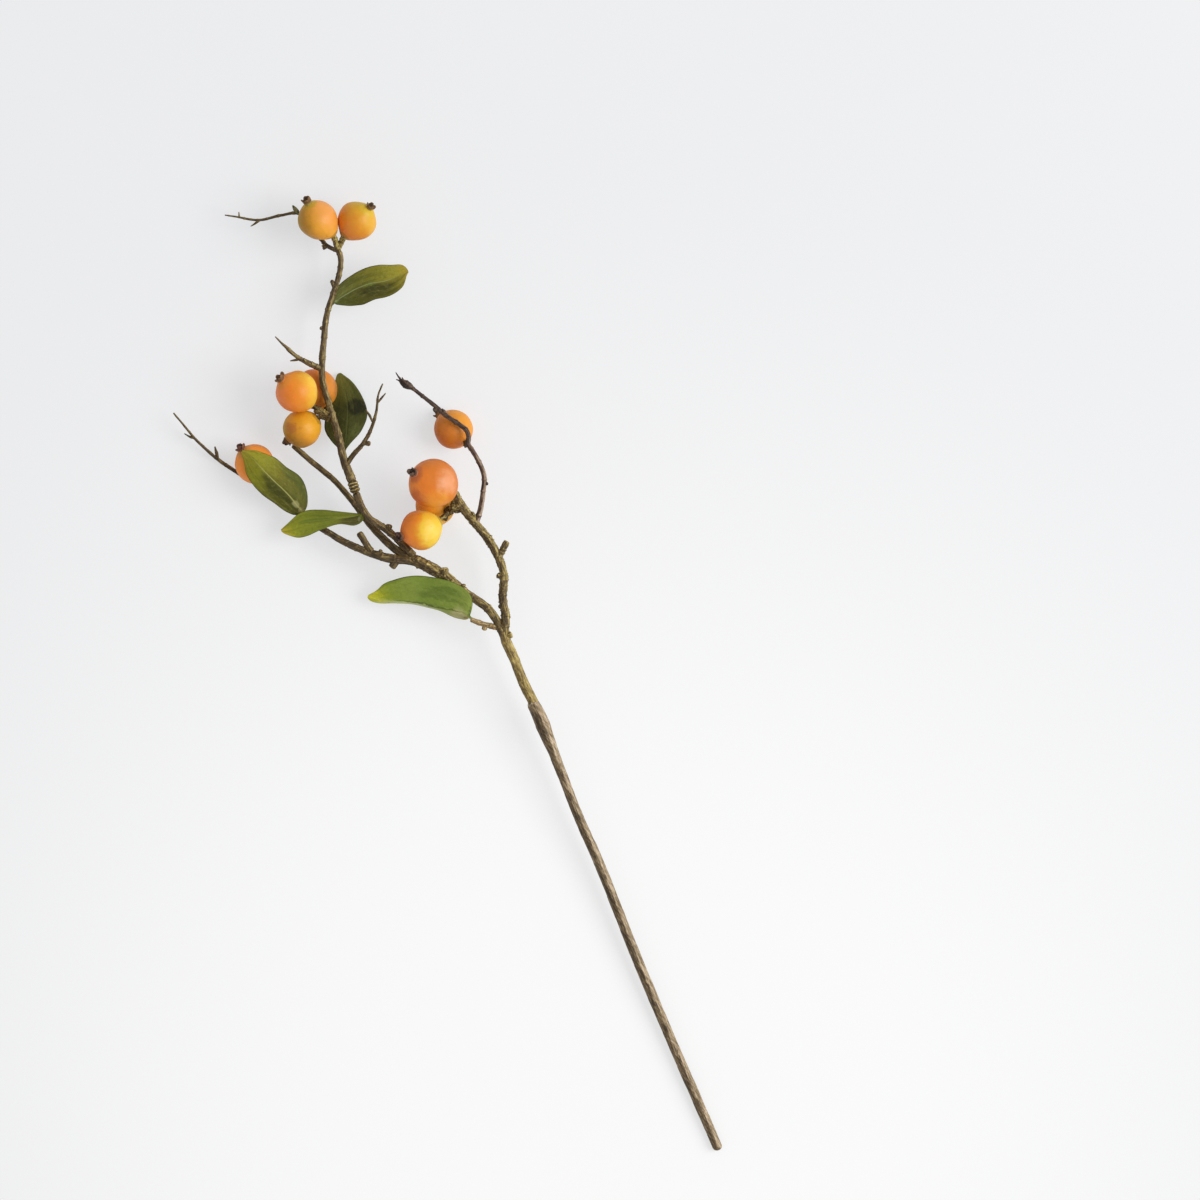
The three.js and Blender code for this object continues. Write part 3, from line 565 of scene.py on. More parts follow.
def crown_tree():
    """A crown round the origin, axis up: a flared neck, blunt curled sepals on its rim and a tuft inside."""
    sizes = {
        "Sepals": 5, "Neck radius": 0.0019, "Neck length": 0.0025, "Neck sunk": 0.0022, "Flare": 1.2,
        "Sepal reach": 0.0032, "Sepal rise": 0.0018, "Sepal width": 0.0018, "Threads": 9, "Seed": 0,
    }
    tree, board, given = new_tree("Crown", sizes)
    neck_radius = given["Neck radius"]
    neck_length = given["Neck length"]
    foot = board.join(0.0, 0.0, 0 - given["Neck sunk"])
    head = board.join(0.0, 0.0, neck_length)
    line = board.add("GeometryNodeCurvePrimitiveLine", {}, {"Start": foot, "End": head})
    line = board.add("GeometryNodeResampleCurve", {"mode": "COUNT"}, {"Curve": line, "Count": 16})
    share = board.add("GeometryNodeSplineParameter")
    scale = neck_radius * (1 + given["Flare"] * (0 - share * 2.6).swell() + share.ease(0.6, 1.0) * 0.4)
    circle = board.add("GeometryNodeCurvePrimitiveCircle", {}, {"Resolution": 20, "Radius": 1.0})
    swept = {"Curve": line, "Profile Curve": circle, "Scale": scale, "Fill Caps": True}
    neck = board.add("GeometryNodeCurveToMesh", {}, swept)

    # One sepal, drawn up from the rim and leaning outwards. Its profile is a flat oval and its tip is blunt.
    bend = {
        "Resolution": 12,
        "Start": board.join(neck_radius * 0.7, 0.0, neck_length * 0.6),
        "Middle": board.join(neck_radius * 1.35, 0.0, neck_length + given["Sepal rise"] * 0.3),
        "End": board.join(given["Sepal reach"], 0.0, neck_length + given["Sepal rise"]),
    }
    spine = board.add("GeometryNodeCurveQuadraticBezier", {}, bend)
    spine = board.add("GeometryNodeSetCurveNormal", {"mode": "Z_UP"}, {"Curve": spine})
    oval = board.add("GeometryNodeTransform", {}, {"Geometry": circle, "Scale": (1.0, 0.4, 1.0)})
    taper = board.add("GeometryNodeSplineParameter")
    width = given["Sepal width"] * (1 - 0.42 * taper.ease(0.4, 1.0)) * (1.02 - taper.ease(0.9, 1.03) * 0.6)
    blade = {"Curve": spine, "Profile Curve": oval, "Scale": width, "Fill Caps": True}
    sepal = board.add("GeometryNodeCurveToMesh", {}, blade)
    seats = board.add("GeometryNodePoints", {}, {"Count": given["Sepals"]})
    index = board.add("GeometryNodeInputIndex")

    def chance(low, high, shift):
        sockets = {2: low, 3: high, "ID": index, "Seed": given["Seed"] + shift}
        return board.add("FunctionNodeRandomValue", {"data_type": "FLOAT"}, sockets, output=1)

    sideways, outwards = chance(-0.18, 0.18, 0), chance(-0.4, 0.2, 1)
    lean = board.join(sideways, outwards, index * TAU / given["Sepals"] + chance(-0.2, 0.2, 2))
    turned = board.add("FunctionNodeEulerToRotation", {}, [lean])
    size = chance(0.86, 1.1, 3)
    laid = {"Points": seats, "Instance": sepal, "Rotation": turned, "Scale": board.join(size, size, size)}
    sepals = board.add("GeometryNodeInstanceOnPoints", {}, laid)

    # The dry threads of the flower, in a tuft inside the rim.
    thread_line = {"Start": (0.0, 0.0, 0.0), "End": board.join(0.0, 0.0, given["Sepal rise"] * 1.1)}
    thread = board.add("GeometryNodeCurvePrimitiveLine", {}, thread_line)
    thread_circle = board.add("GeometryNodeCurvePrimitiveCircle", {}, {"Resolution": 8, "Radius": 0.00024})
    drawn = {"Curve": thread, "Profile Curve": thread_circle, "Scale": 1.0, "Fill Caps": True}
    thread = board.add("GeometryNodeCurveToMesh", {}, drawn)
    swirl = index * SEED_TURN
    spread = neck_radius * 0.2 * (index + 0.5) ** 0.5
    seat_at = board.join(swirl.cosine() * spread, swirl.sine() * spread, neck_length * 0.8)
    thread_seats = board.add("GeometryNodePoints", {}, {"Count": given["Threads"], "Position": seat_at})
    splay = board.join(chance(-0.5, 0.5, 4), chance(-0.5, 0.5, 5), 0.0)
    splayed = board.add("FunctionNodeEulerToRotation", {}, [splay])
    stood = {"Points": thread_seats, "Instance": thread, "Rotation": splayed}
    threads = board.add("GeometryNodeInstanceOnPoints", {}, stood)
    close_tree(board, board.add("GeometryNodeJoinGeometry", {}, {"Geometry": [neck, sepals, threads]}), given)
    return tree


WOOD_TREE = wood_tree()
BERRY_TREE = berry_tree()
CROWN_TREE = crown_tree()


def plain_mesh(carrier):
    """The mesh that an object's modifiers give, as a mesh with none. The carrier is removed."""
    bpy.context.view_layer.update()
    mesh = bpy.data.meshes.new_from_object(carrier.evaluated_get(bpy.context.evaluated_depsgraph_get()))
    bpy.data.objects.remove(carrier)
    return mesh


def stand(name, data):
    """An object for a mesh, a curve or a lamp, put into the scene."""
    thing = bpy.data.objects.new(name, data)
    bpy.context.scene.collection.objects.link(thing)
    return thing


def made_by(tree, carrier, sizes, material):
    """Runs a tree on a carrier object with the given sizes and returns the plain mesh."""
    modifier = carrier.modifiers.new("rule", "NODES")
    modifier.node_group = tree
    for item in tree.interface.items_tree:
        if item.item_type == "SOCKET" and item.in_out == "INPUT":
            if item.name in sizes:
                modifier[item.identifier] = sizes[item.name]
            elif item.name == "Material":
                modifier[item.identifier] = material
    return plain_mesh(carrier)


def finish_piece(name, mesh, slot, *nodes):
    """The finished piece stands for its nodes of the frame and rides with them."""
    piece = stand(name, mesh)
    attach(piece, "root")
    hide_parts(*nodes)
    return piece


# ---------------------------------------------------------------- routes

# The close points between two places of a route.
STEPS_BETWEEN = 60


def smooth_run(route):
    """Close points on the smooth curve through a route, and how far along it each one is."""
    points = np.array(route, float)
    points = np.vstack([2 * points[0] - points[1], points, 2 * points[-1] - points[-2]])
    run = []
    for i in range(1, len(points) - 2):
        a, b, c, d = points[i - 1:i + 3]
        before, within, after = (np.linalg.norm(q - p) ** 0.5 for p, q in ((a, b), (b, c), (c, d)))
        leave = ((b - a) / before - (c - a) / (before + within) + (c - b) / within) * within
        arrive = ((c - b) / within - (d - b) / (within + after) + (d - c) / after) * within
        t = np.linspace(0, 1, STEPS_BETWEEN)[:, None]
        cubic = 2 * (b - c) + leave + arrive
        square = 3 * (c - b) - 2 * leave - arrive
        run.append(b + leave * t + square * t ** 2 + cubic * t ** 3)
    run = np.vstack([one if i == 0 else one[1:] for i, one in enumerate(run)])
    along = np.concatenate([[0], np.cumsum(np.linalg.norm(np.diff(run, axis=0), axis=1))])
    return run, along


def at_distance(run, along, distance):
    return np.stack([np.interp(distance, along, run[:, k]) for k in range(3)], axis=-1)


# The angles at which a rounded end has its rings, from the tip to where the body starts.
ROUND_END = np.radians([6, 18, 32, 48, 66, 90])


def rod_line(route, radii, spacing, blunt):
    """Points and radii of a rod whose two ends are rounded off over a share of their radius."""
    run, along = smooth_run(route)
    whole = along[-1]
    first, last = (max(0.15, blunt * r) for r in (radii[0], radii[-1]))
    body = np.linspace(first, whole - last, max(3, round(whole / spacing)))
    start = first * (1 - np.cos(ROUND_END[:-1]))
    finish = whole - last * (1 - np.cos(ROUND_END[:-1]))[::-1]
    distance = np.concatenate([start, body, finish])
    radius = np.interp(distance / whole, np.linspace(0, 1, len(radii)), radii)
    radius[:len(start)] *= np.sin(ROUND_END[:-1])
    radius[-len(finish):] *= np.sin(ROUND_END[:-1])[::-1]
    return at_distance(run, along, distance), radius, whole


# A ragged end's edge is a sum of waves, each with a height, a count in a turn and a start. It reaches this
# many millimetres back from the end.
RAGGED_WAVES = ((0.6, 1, 0.8), (0.35, 3, 0.0), (0.3, 7, 2.0), (0.2, 13, 0.0))
RAGGED_REACH = 8

# A rod's sides are about this many millimetres wide.
SIDE_WIDTH = 0.5
LEAST_SIDES, MOST_SIDES = 10, 44


def grow(
        name, route, radii, material, look,
        spacing=0.5, blunt=0.5, cut=False, green=False, ragged=0.0, start=0.0):
    """A rod of wood along a route.

    spacing is the distance between its rings in millimetres, and blunt the length of its rounded ends as a
    share of their radius. cut leaves its far end pale, as a stub's end is, and ragged is how many millimetres
    that end's edge wanders. green makes it a young shoot, and start is where its grain begins, in metres.
    """
    points, radius, whole = rod_line(route, radii, spacing, blunt)
    curve = bpy.data.curves.new(name, "CURVE")
    curve.dimensions = "3D"
    spline = curve.splines.new("POLY")
    spline.points.add(len(points) - 1)
    spline.points.foreach_set("co", np.hstack([metres(points), np.ones((len(points), 1))]).ravel())
    spline.points.foreach_set("radius", radius * MM)
    thickness = float(np.mean(radii))
    sides = int(np.clip(round(thickness * TAU / SIDE_WIDTH), LEAST_SIDES, MOST_SIDES))
    sizes = {**look, "Thickness": thickness * MM, "Sides": sides}
    mesh = made_by(WOOD_TREE, stand(name, curve), sizes, material)
    along, around, relief = (read(mesh, label) for label in ("along", "around", "relief"))
    if cut:
        relief = np.where(along > (whole - blunt * radii[-1] * 0.6) * MM, CUT_FACE, relief)
    if green:
        relief = np.full_like(relief, YOUNG_SHOOT)
    mesh.attributes["relief"].data.foreach_set("value", relief.astype(np.float32))
    if ragged:
        turn = around * TAU
        wander = sum(height * np.sin(count * turn + shift) for height, count, shift in RAGGED_WAVES)
        near = np.clip(1 - (whole * MM - along) / (RAGGED_REACH * MM), 0, 1) ** 2
        heading = (metres(points[-1]) - metres(points[-8]))[0]
        heading /= np.linalg.norm(heading)
        move_to(mesh, places(mesh) + (ragged * MM * wander * near)[:, None] * heading)
    lay_grain(mesh, around, along + start)
    for label in ("along", "around"):
        mesh.attributes.remove(mesh.attributes[label])
    return mesh


def places(mesh):
    """Where a mesh's vertices are, a row for each."""
    spots = np.zeros(3 * len(mesh.vertices), np.float32)
    mesh.vertices.foreach_get("co", spots)
    return spots.reshape(-1, 3)


def move_to(mesh, spots):
    mesh.vertices.foreach_set("co", spots.astype(np.float32).ravel())


def read(mesh, label):
    """A number that a mesh carries, for each vertex."""
    values = np.zeros(len(mesh.vertices), np.float32)
    mesh.attributes[label].data.foreach_get("value", values)
    return values


def corner_vertices(mesh):
    corners = np.zeros(len(mesh.loops), np.int32)
    mesh.loops.foreach_get("vertex_index", corners)
    return corners


def lay_grain(mesh, around, along):
    """A UV map: the turn round the rod and the metres along it. The faces that close the ring run on to 1."""
    corners = corner_vertices(mesh)
    turn = around[corners]
    starts = np.zeros(len(mesh.polygons), np.int32)
    mesh.polygons.foreach_get("loop_start", starts)
    low = np.minimum.reduceat(turn, starts)
    high = np.maximum.reduceat(turn, starts)
    sizes = np.diff(np.append(starts, len(turn)))
    crosses = np.repeat((high - low > 0.5) & (sizes < 5), sizes)
    turn = np.where(crosses & (turn < 0.5), turn + 1, turn)
    layer = mesh.uv_layers.new(name="Grain")
    layer.data.foreach_set("uv", np.stack([turn, along[corners]], axis=1).astype(np.float32).ravel())


def fuse(name, meshes):
    """One closed mesh from several that run into each other."""
    whole = meshes[0]
    for other in meshes[1:]:
        base = stand(name + "_base", whole)
        added = stand(name + "_added", other)
        union = base.modifiers.new("union", "BOOLEAN")
        union.operation = "UNION"
        union.solver = "MANIFOLD"
        union.object = added
        whole = plain_mesh(base)
        bpy.data.objects.remove(added)
    return whole


# The grain of stubs and shoots starts this many metres on, where a dark twig has no painted lit side left.
SIDE_GRAIN = 0.1

# A stub's radii along it, as shares of the one given for it, up to its tip.
KNOB_SWELL = (1.45, 1.08, 1.0, 1.05, 1.1)


def knob_parts(name, knobs, shoots, material, look):
    """The stubs and shoots of a rod. A stub whose tip is nearly as thick as the rest of it is a cut one."""
    parts = []
    for i, one in enumerate(knobs):
        radius, tip = one["radius"], one.get("tip", 0.6)
        radii = [radius * swell for swell in (*KNOB_SWELL, tip)]
        seed = {**look, "Seed": look["Seed"] + 3.7 * (i + 1), "Swelling": look["Swelling"] * 0.6}
        blunt = 0.3 if tip > 0.8 else 0.9
        route = [one["from"], one["to"]]
        ends = {"spacing": 0.4, "blunt": blunt, "cut": tip > 0.75, "start": SIDE_GRAIN}
        parts.append(grow(f"{name}_knob", route, radii, material, seed, **ends))
    for i, one in enumerate(shoots):
        seed = {**look, "Seed": look["Seed"] - 2.3 * (i + 1), "Swelling": look["Swelling"] * 0.3}
        seed["Scar height"] = 0.0
        ends = {"spacing": 0.35, "blunt": 1.0, "green": one.get("green", False), "start": SIDE_GRAIN}
        parts.append(grow(f"{name}_shoot", one["route"], one["radii"], material, seed, **ends))
    return parts


# ---------------------------------------------------------------- the wood

def surface(groove, swelling, scar, seed, **more):
    """The heights of a bark's grooves, swellings and scars in millimetres, and more sizes in metres."""
    heights = {"Groove depth": groove * MM, "Swelling": swelling * MM, "Scar height": scar * MM}
    return {**heights, "Seed": seed, **more}


# A rod's radii stand at even steps along its route. Its knobs are stubs on it, and its shoots thin twigs.
WOOD = {
    "main_stem": {
        "route": [
            [134, -322.3, 3.1], [104, -253, 5.5], [83, -203, 8], [59.3, -143.3, 11.5], [46.6, -114.5, 13.8],
            [37.9, -92, 15.5], [28.2, -67, 18], [22.3, -52, 19.3], [17.4, -42, 20]],
        "radii": [
            3, 3.02, 3.05, 3.08, 3.1, 3.12, 3.15, 3.18, 3.2, 3.2, 3.2, 3.15, 3.1, 3.05, 3.1, 3.25, 4.6, 3.8],
        "material": WRAPPED, "slot": "wrapped_stem", "spacing": 0.7,
        "surface": surface(0.16, 0.5, 0.0, 1.0, **{
            "Wrap step": 0.00018, "Wrap pitch": 0.023, "Groove width": 0.0008, "Groove length": 0.009,
            "Swelling length": 0.03}),
        "knobs": [{"from": [114.6, -278.4, 4.6], "to": [117.5, -277.2, 5], "radius": 1.1}],
        "cut": True, "ragged": 1.3, "blunt": 0.8,
    },
    "main_fork": {
        "route": [[20, -46, 19.6], [12, -30, 21.5], [7, -17, 23], [2, -6, 24], [-1, 3, 24.2]],
        "radii": [3.3, 3.25, 3.15, 3.1, 3.3, 2.2],
        "knobs": [{"from": [0.5, -3, 24], "to": [5.6, -1.2, 25.2], "radius": 2.0, "tip": 0.85}],
        "material": MOULDED, "slot": "moulded_twig", "blunt": 1.0,
        "surface": surface(0.28, 0.5, 0.12, 2.0, **{"Groove length": 0.007}),
    },
    "left_branch": {
        "route": [
            [1.5, -5, 24], [-4.5, 8, 24], [-10, 15, 24], [-24, 25, 23.8], [-36, 34.6, 23.2],
            [-48.4, 41.7, 22.6], [-58.4, 46.8, 22.2]],
        "radii": [2.4, 2.7, 2.6, 2.6, 2.6, 2.8, 3.3, 3.8, 3.8, 2.8],
        "knobs": [
            {"from": [-36.4, 33.5, 23.2], "to": [-37, 40, 25.4], "radius": 2.7, "tip": 0.95},
            {"from": [-24.5, 26.5, 24], "to": [-25, 30, 25.6], "radius": 1.2},
            {"from": [-53, 44, 23], "to": [-53.5, 46, 26], "radius": 1.6},
            {"from": [-51, 41.5, 22], "to": [-54, 41.8, 21.4], "radius": 2.2}],
        "material": FORKED, "slot": "moulded_twig", "blunt": 1.2,
        "surface": surface(0.36, 1.0, 0.35, 3.0),
    },
    "right_branch": {
        "route": [
            [1, -4, 24], [1.5, 9, 25], [-0.3, 22, 26.5], [0.5, 34, 27.4], [-1.6, 43, 28], [-8.1, 56, 28.5],
            [-17.5, 67.7, 28.5], [-26, 78.3, 28.3], [-30.3, 87, 28]],
        "radii": [2.6, 2.6, 2.5, 2.5, 2.6, 2.65, 2.75, 2.75],
        "knobs": [
            {"from": [-20, 72, 28.5], "to": [-17.8, 74, 29.6], "radius": 1.5},
            {"from": [-8, 56, 28.5], "to": [-9, 60, 29.4], "radius": 1.6},
            {"from": [-3, 46, 28], "to": [2.5, 56.5, 30], "radius": 1.9, "tip": 0.9},
            {"from": [0, 34, 27.4], "to": [-4.2, 35.5, 27.8], "radius": 1.7},
            {"from": [0.5, 15, 25.8], "to": [-3, 16.5, 26], "radius": 1.2},
            {"from": [-12.5, 62, 28.5], "to": [-15.4, 62.6, 28.8], "radius": 1.2},
            {"from": [1, 9, 25], "to": [4.5, 9.5, 25.4], "radius": 1}],
        "material": FORKED, "slot": "moulded_twig", "cut": True,
        "surface": surface(0.42, 1.5, 0.55, 4.0, **{"Scar spacing": 0.005, "Swelling length": 0.005}),
    },
    "right_twig": {
        "route": [
            [-17, 67, 28.5], [-14.2, 75.9, 30], [-12.4, 87, 31.5], [-11.6, 94, 31.6], [-12.2, 98.6, 31.4],
            [-16.2, 107.8, 30.3], [-19.2, 112.8, 29.6], [-21.6, 116.8, 29], [-21.4, 120.8, 28.6],
            [-22.8, 125.2, 28], [-27, 128.6, 27.6], [-35.6, 134.4, 28.2], [-42, 140, 29], [-58.5, 153, 32.6]],
        "radii": [1.9, 1.7, 1.55, 1.5, 1.5, 1.4, 1.4, 1.25, 1.2],
        "knobs": [
            {"from": [-11.8, 91.5, 31.5], "to": [-9.2, 92.4, 32], "radius": 1.1},
            {"from": [-40.5, 138.8, 29], "to": [-43.2, 136.8, 29.4], "radius": 1.7},
            {"from": [-37.5, 135.9, 28.6], "to": [-36.4, 138, 29.4], "radius": 1.2}],
        "material": DARK, "slot": "dark_twig",
        "surface": surface(0.12, 0.4, 0.3, 5.0, **{"Scar spacing": 0.011}),
    },
    "right_twig_bud": {
        "route": [[-55.8, 151.2, 32], [-60.8, 154, 33], [-64.5, 156.5, 33.8]],
        "radii": [1.4, 2.3, 2.7, 1.9, 0.7],
        "shoots": [
            {"route": [[-62, 155.2, 33.3], [-64.5, 158, 34], [-66.5, 161, 34.5]], "radii": [0.8, 0.55, 0.25]},
            {"route": [[-62, 155, 33], [-66.3, 156.6, 33.5]], "radii": [0.7, 0.3]},
            {"route": [[-58.5, 153.2, 33.6], [-61, 154.9, 35], [-63.2, 156.6, 34.6]],
             "radii": [0.9, 0.8, 0.3]},
            {"route": [[-58, 152, 33], [-60.8, 152.6, 34.6], [-63.4, 154.6, 34.4]], "radii": [0.9, 0.8, 0.3]},
            {"route": [[-58.6, 152, 32.2], [-61, 152, 32.4], [-63.6, 154.2, 32.8]], "radii": [0.9, 0.8, 0.3]},
            {"route": [[-60.5, 154.5, 33], [-61.8, 156.2, 33.6], [-62.6, 158, 34]],
             "radii": [0.8, 0.6, 0.25]}],
        "material": BUD, "slot": "dark_twig",
        "surface": surface(0.16, 0.3, 0.2, 6.0, **{"Scar spacing": 0.002}),
    },
    "low_limb": {
        "route": [
            [-53, 43.5, 22], [-60, 44.6, 22.4], [-66.5, 45.2, 22.6], [-73, 46.4, 22.8], [-84, 49.8, 22],
            [-99, 56.3, 19.6], [-112, 64, 16], [-126, 73, 11.5], [-138, 82, 7.5], [-149, 90, 4.2],
            [-165, 99, 2.9], [-177, 107, 4.5], [-191.3, 119.8, 8], [-198.2, 128, 10], [-205, 136.2, 12]],
        "radii": [2.8, 2.8, 2.3, 2.1, 1.9, 1.7, 1.5, 1.25, 1.05, 0.8, 0.5],
        "knobs": [
            {"from": [-82, 50, 22.3], "to": [-89.5, 62, 24], "radius": 1.9, "tip": 0.9},
            {"from": [-65.5, 45, 22.5], "to": [-69.6, 39.9, 22.5], "radius": 2.2, "tip": 0.85},
            {"from": [-76.5, 47.5, 22.8], "to": [-76, 51.5, 24], "radius": 1.2}],
        "shoots": [
            {"route": [[-177.5, 107.5, 5], [-178.5, 111.5, 6], [-179.5, 115.5, 7]], "radii": [0.7, 1.1, 0.4]},
            {"route": [[-191, 120, 8], [-194, 121, 8.5], [-198.5, 123.5, 9]], "radii": [0.6, 0.7, 0.3]}],
        "material": BARK, "slot": "bark_twig",
        "surface": surface(0.26, 0.7, 0.25, 7.0),
    },
    "spur": {
        "route": [
            [-55, 44.5, 21.6], [-62.3, 48.1, 21.2], [-72, 55.8, 19.4], [-82.6, 66.7, 18.6],
            [-89.6, 76.1, 18.5], [-96.9, 85.4, 18.2], [-105.9, 95, 17.5], [-112.4, 100.6, 16.9],
            [-119, 105.9, 16.2], [-130.9, 116.2, 15]],
        "radii": [2.6, 2.5, 2.3, 2.15, 1.95, 1.8, 1.8, 1.75, 1.65],
        "material": BARK, "slot": "bark_twig", "cut": True,
        "surface": surface(0.22, 0.5, 0.1, 8.0, **{"Groove length": 0.009}),
    },
    "upper_limb": {
        "route": [
            [-55, 47, 22.4], [-61.2, 53.1, 22.8], [-66.3, 58.6, 23.8], [-71.5, 62.9, 25.4],
            [-76.9, 66.7, 27.6], [-82.6, 70.6, 29.8], [-87.1, 76.5, 30.4], [-91.3, 86.6, 30.6]],
        "radii": [2.6, 2.5, 2.3, 2.15, 2.1, 2.1, 2.15, 2.4],
        "knobs": [
            {"from": [-71.3, 62.7, 25.5], "to": [-70.8, 67, 27.2], "radius": 2.1},
            {"from": [-63.3, 55.4, 23], "to": [-62, 58, 24.5], "radius": 1.2}],
        "material": BARK, "slot": "bark_twig",
        "surface": surface(0.3, 0.9, 0.35, 9.0),
    },
    "ringed_collar": {
        "route": [[-91.2, 86.4, 30.6], [-92.4, 90, 30.45], [-93.7, 94, 30.3]],
        "radii": [2.8, 2.85, 2.85, 2.85, 2.8],
        "material": COLLAR, "slot": "moulded_twig", "spacing": 0.25,
        "surface": surface(0.12, 0.2, 0.0, 10.0, **{"Ring height": 0.0005, "Ring pitch": 0.002}),
    },
    "upper_branch": {
        "route": [
            [-93.4, 92.9, 30.3], [-99, 108, 29.5], [-103, 125, 28.2], [-108, 141, 27.4], [-111.7, 154, 27],
            [-112.4, 163, 26.6], [-111.3, 181, 25.6], [-109.7, 195, 25.2], [-106.2, 208, 25],
            [-102, 220.9, 25], [-100.9, 232, 24.6], [-103.3, 239.3, 24]],
        "radii": [2.9, 2.45, 2.1, 2, 2, 1.9, 1.8, 1.7, 1.7],
        "knobs": [
            {"from": [-111, 188, 25.4], "to": [-113.8, 188.8, 25.6], "radius": 1.1},
            {"from": [-104.5, 213, 25], "to": [-106.6, 218.5, 25.6], "radius": 1.2}],
        "material": BARK, "slot": "bark_twig",
        "surface": surface(0.26, 0.8, 0.32, 11.0),
    },
    "bud_twig": {
        "route": [
            [-97.5, 103.5, 29.8], [-93.2, 109.4, 31.5], [-86.5, 117.1, 34], [-82, 125, 36.5],
            [-78.5, 135.9, 39], [-77, 147, 41], [-74.3, 153.8, 42.5]],
        "radii": [1.7, 1.5, 1.2, 0.95, 0.75, 0.45],
        "knobs": [{"from": [-87.5, 117.3, 34], "to": [-82, 116.8, 35], "radius": 1.4, "tip": 0.9}],
        "shoots": [
            {"route": [[-77.5, 142, 40], [-72.5, 148, 41.5]], "radii": [0.6, 0.7, 0.3]},
            {"route": [[-80.7, 130, 37.7], [-82.5, 134, 38.5], [-85, 138, 39]], "radii": [0.6, 0.9, 0.3]}],
        "material": BARK, "slot": "bark_twig",
        "surface": surface(0.14, 0.4, 0.25, 12.0, **{"Scar spacing": 0.006}),
    },
    "thorn_twig": {
        "route": [
            [-112.5, 163, 26.5], [-118.2, 165.7, 28], [-126.8, 170.1, 30.5], [-136, 178, 34.5],
            [-141, 183, 37]],
        "radii": [1.9, 1.8, 1.7, 1.5, 1.2, 1.3, 0.95, 0.6, 0.35],
        "knobs": [
            {"from": [-117.4, 165, 28], "to": [-119.2, 167.6, 29.4], "radius": 1.0},
            {"from": [-122, 167.2, 29.2], "to": [-124, 169.6, 30.8], "radius": 1.0}],
        "shoots": [{"route": [[-125.5, 169.3, 30.2], [-132, 168.1, 31]], "radii": [0.8, 0.8, 0.3]}],
        "material": BARK, "slot": "bark_twig",
        "surface": surface(0.16, 0.5, 0.3, 13.0, **{"Scar spacing": 0.005}),
    },
    "top_twig": {
        "route": [
            [-102.3, 236.5, 24.3], [-107, 238.5, 20.5], [-110.5, 240.7, 17.5], [-112.9, 243.7, 15],
            [-118, 249.5, 12.8], [-127, 260, 12.3], [-138, 259, 13], [-152, 256, 14], [-166, 258, 15.5],
            [-173, 259, 16.5]],
        "radii": [1.4, 1.3, 1.2, 1.05, 0.95, 0.85, 0.7, 0.4],
        "knobs": [{"from": [-110.3, 241, 17.5], "to": [-111.3, 238.6, 17.8], "radius": 1.6}],
        "shoots": [
            {"route": [[-126.8, 259.6, 12.5], [-128.8, 262, 13.2], [-131, 265.2, 14]],
             "radii": [0.9, 1.5, 1.3, 0.35], "green": True},
            {"route": [[-151, 256, 14], [-157, 252, 15]], "radii": [0.6, 0.7, 0.3]},
            {"route": [[-164, 257.5, 15.2], [-164.3, 261, 16]], "radii": [0.5, 0.5, 0.3]}],
        "material": BARK, "slot": "bark_twig",
        "surface": surface(0.12, 0.35, 0.22, 14.0, **{"Scar spacing": 0.007}),
    },
    "leaf_1_twig": {
        "route": [[-1, 2.5, 24], [-7, 3.7, 23.5], [-13, 5.2, 23.2], [-20.3, 8, 23]],
        "radii": [1.9, 1.75, 1.6, 1.55],
        "knobs": [{"from": [-11, 4.5, 23], "to": [-12, 1, 22.6], "radius": 1.6, "tip": 0.8}],
        "material": TAN, "slot": "moulded_twig",
        "surface": surface(0.26, 0.7, 0.3, 15.0, **{"Scar spacing": 0.005}),
    },
}

for name, wood in WOOD.items():
    look = wood["surface"]
    ends = {key: wood[key] for key in ("spacing", "blunt", "cut", "ragged") if key in wood}
    rod = grow(name, wood["route"], wood["radii"], wood["material"], look, **ends)
    extra = knob_parts(name, wood.get("knobs", []), wood.get("shoots", []), wood["material"], look)
    finish_piece(name + "_wood", fuse(name, [rod, *extra]), wood["slot"], name)


# ---------------------------------------------------------------- the berries and their crowns

OLIVE = (178, 156, 58)
DRY = (112, 76, 44)
SHOULDER = (186, 150, 50)

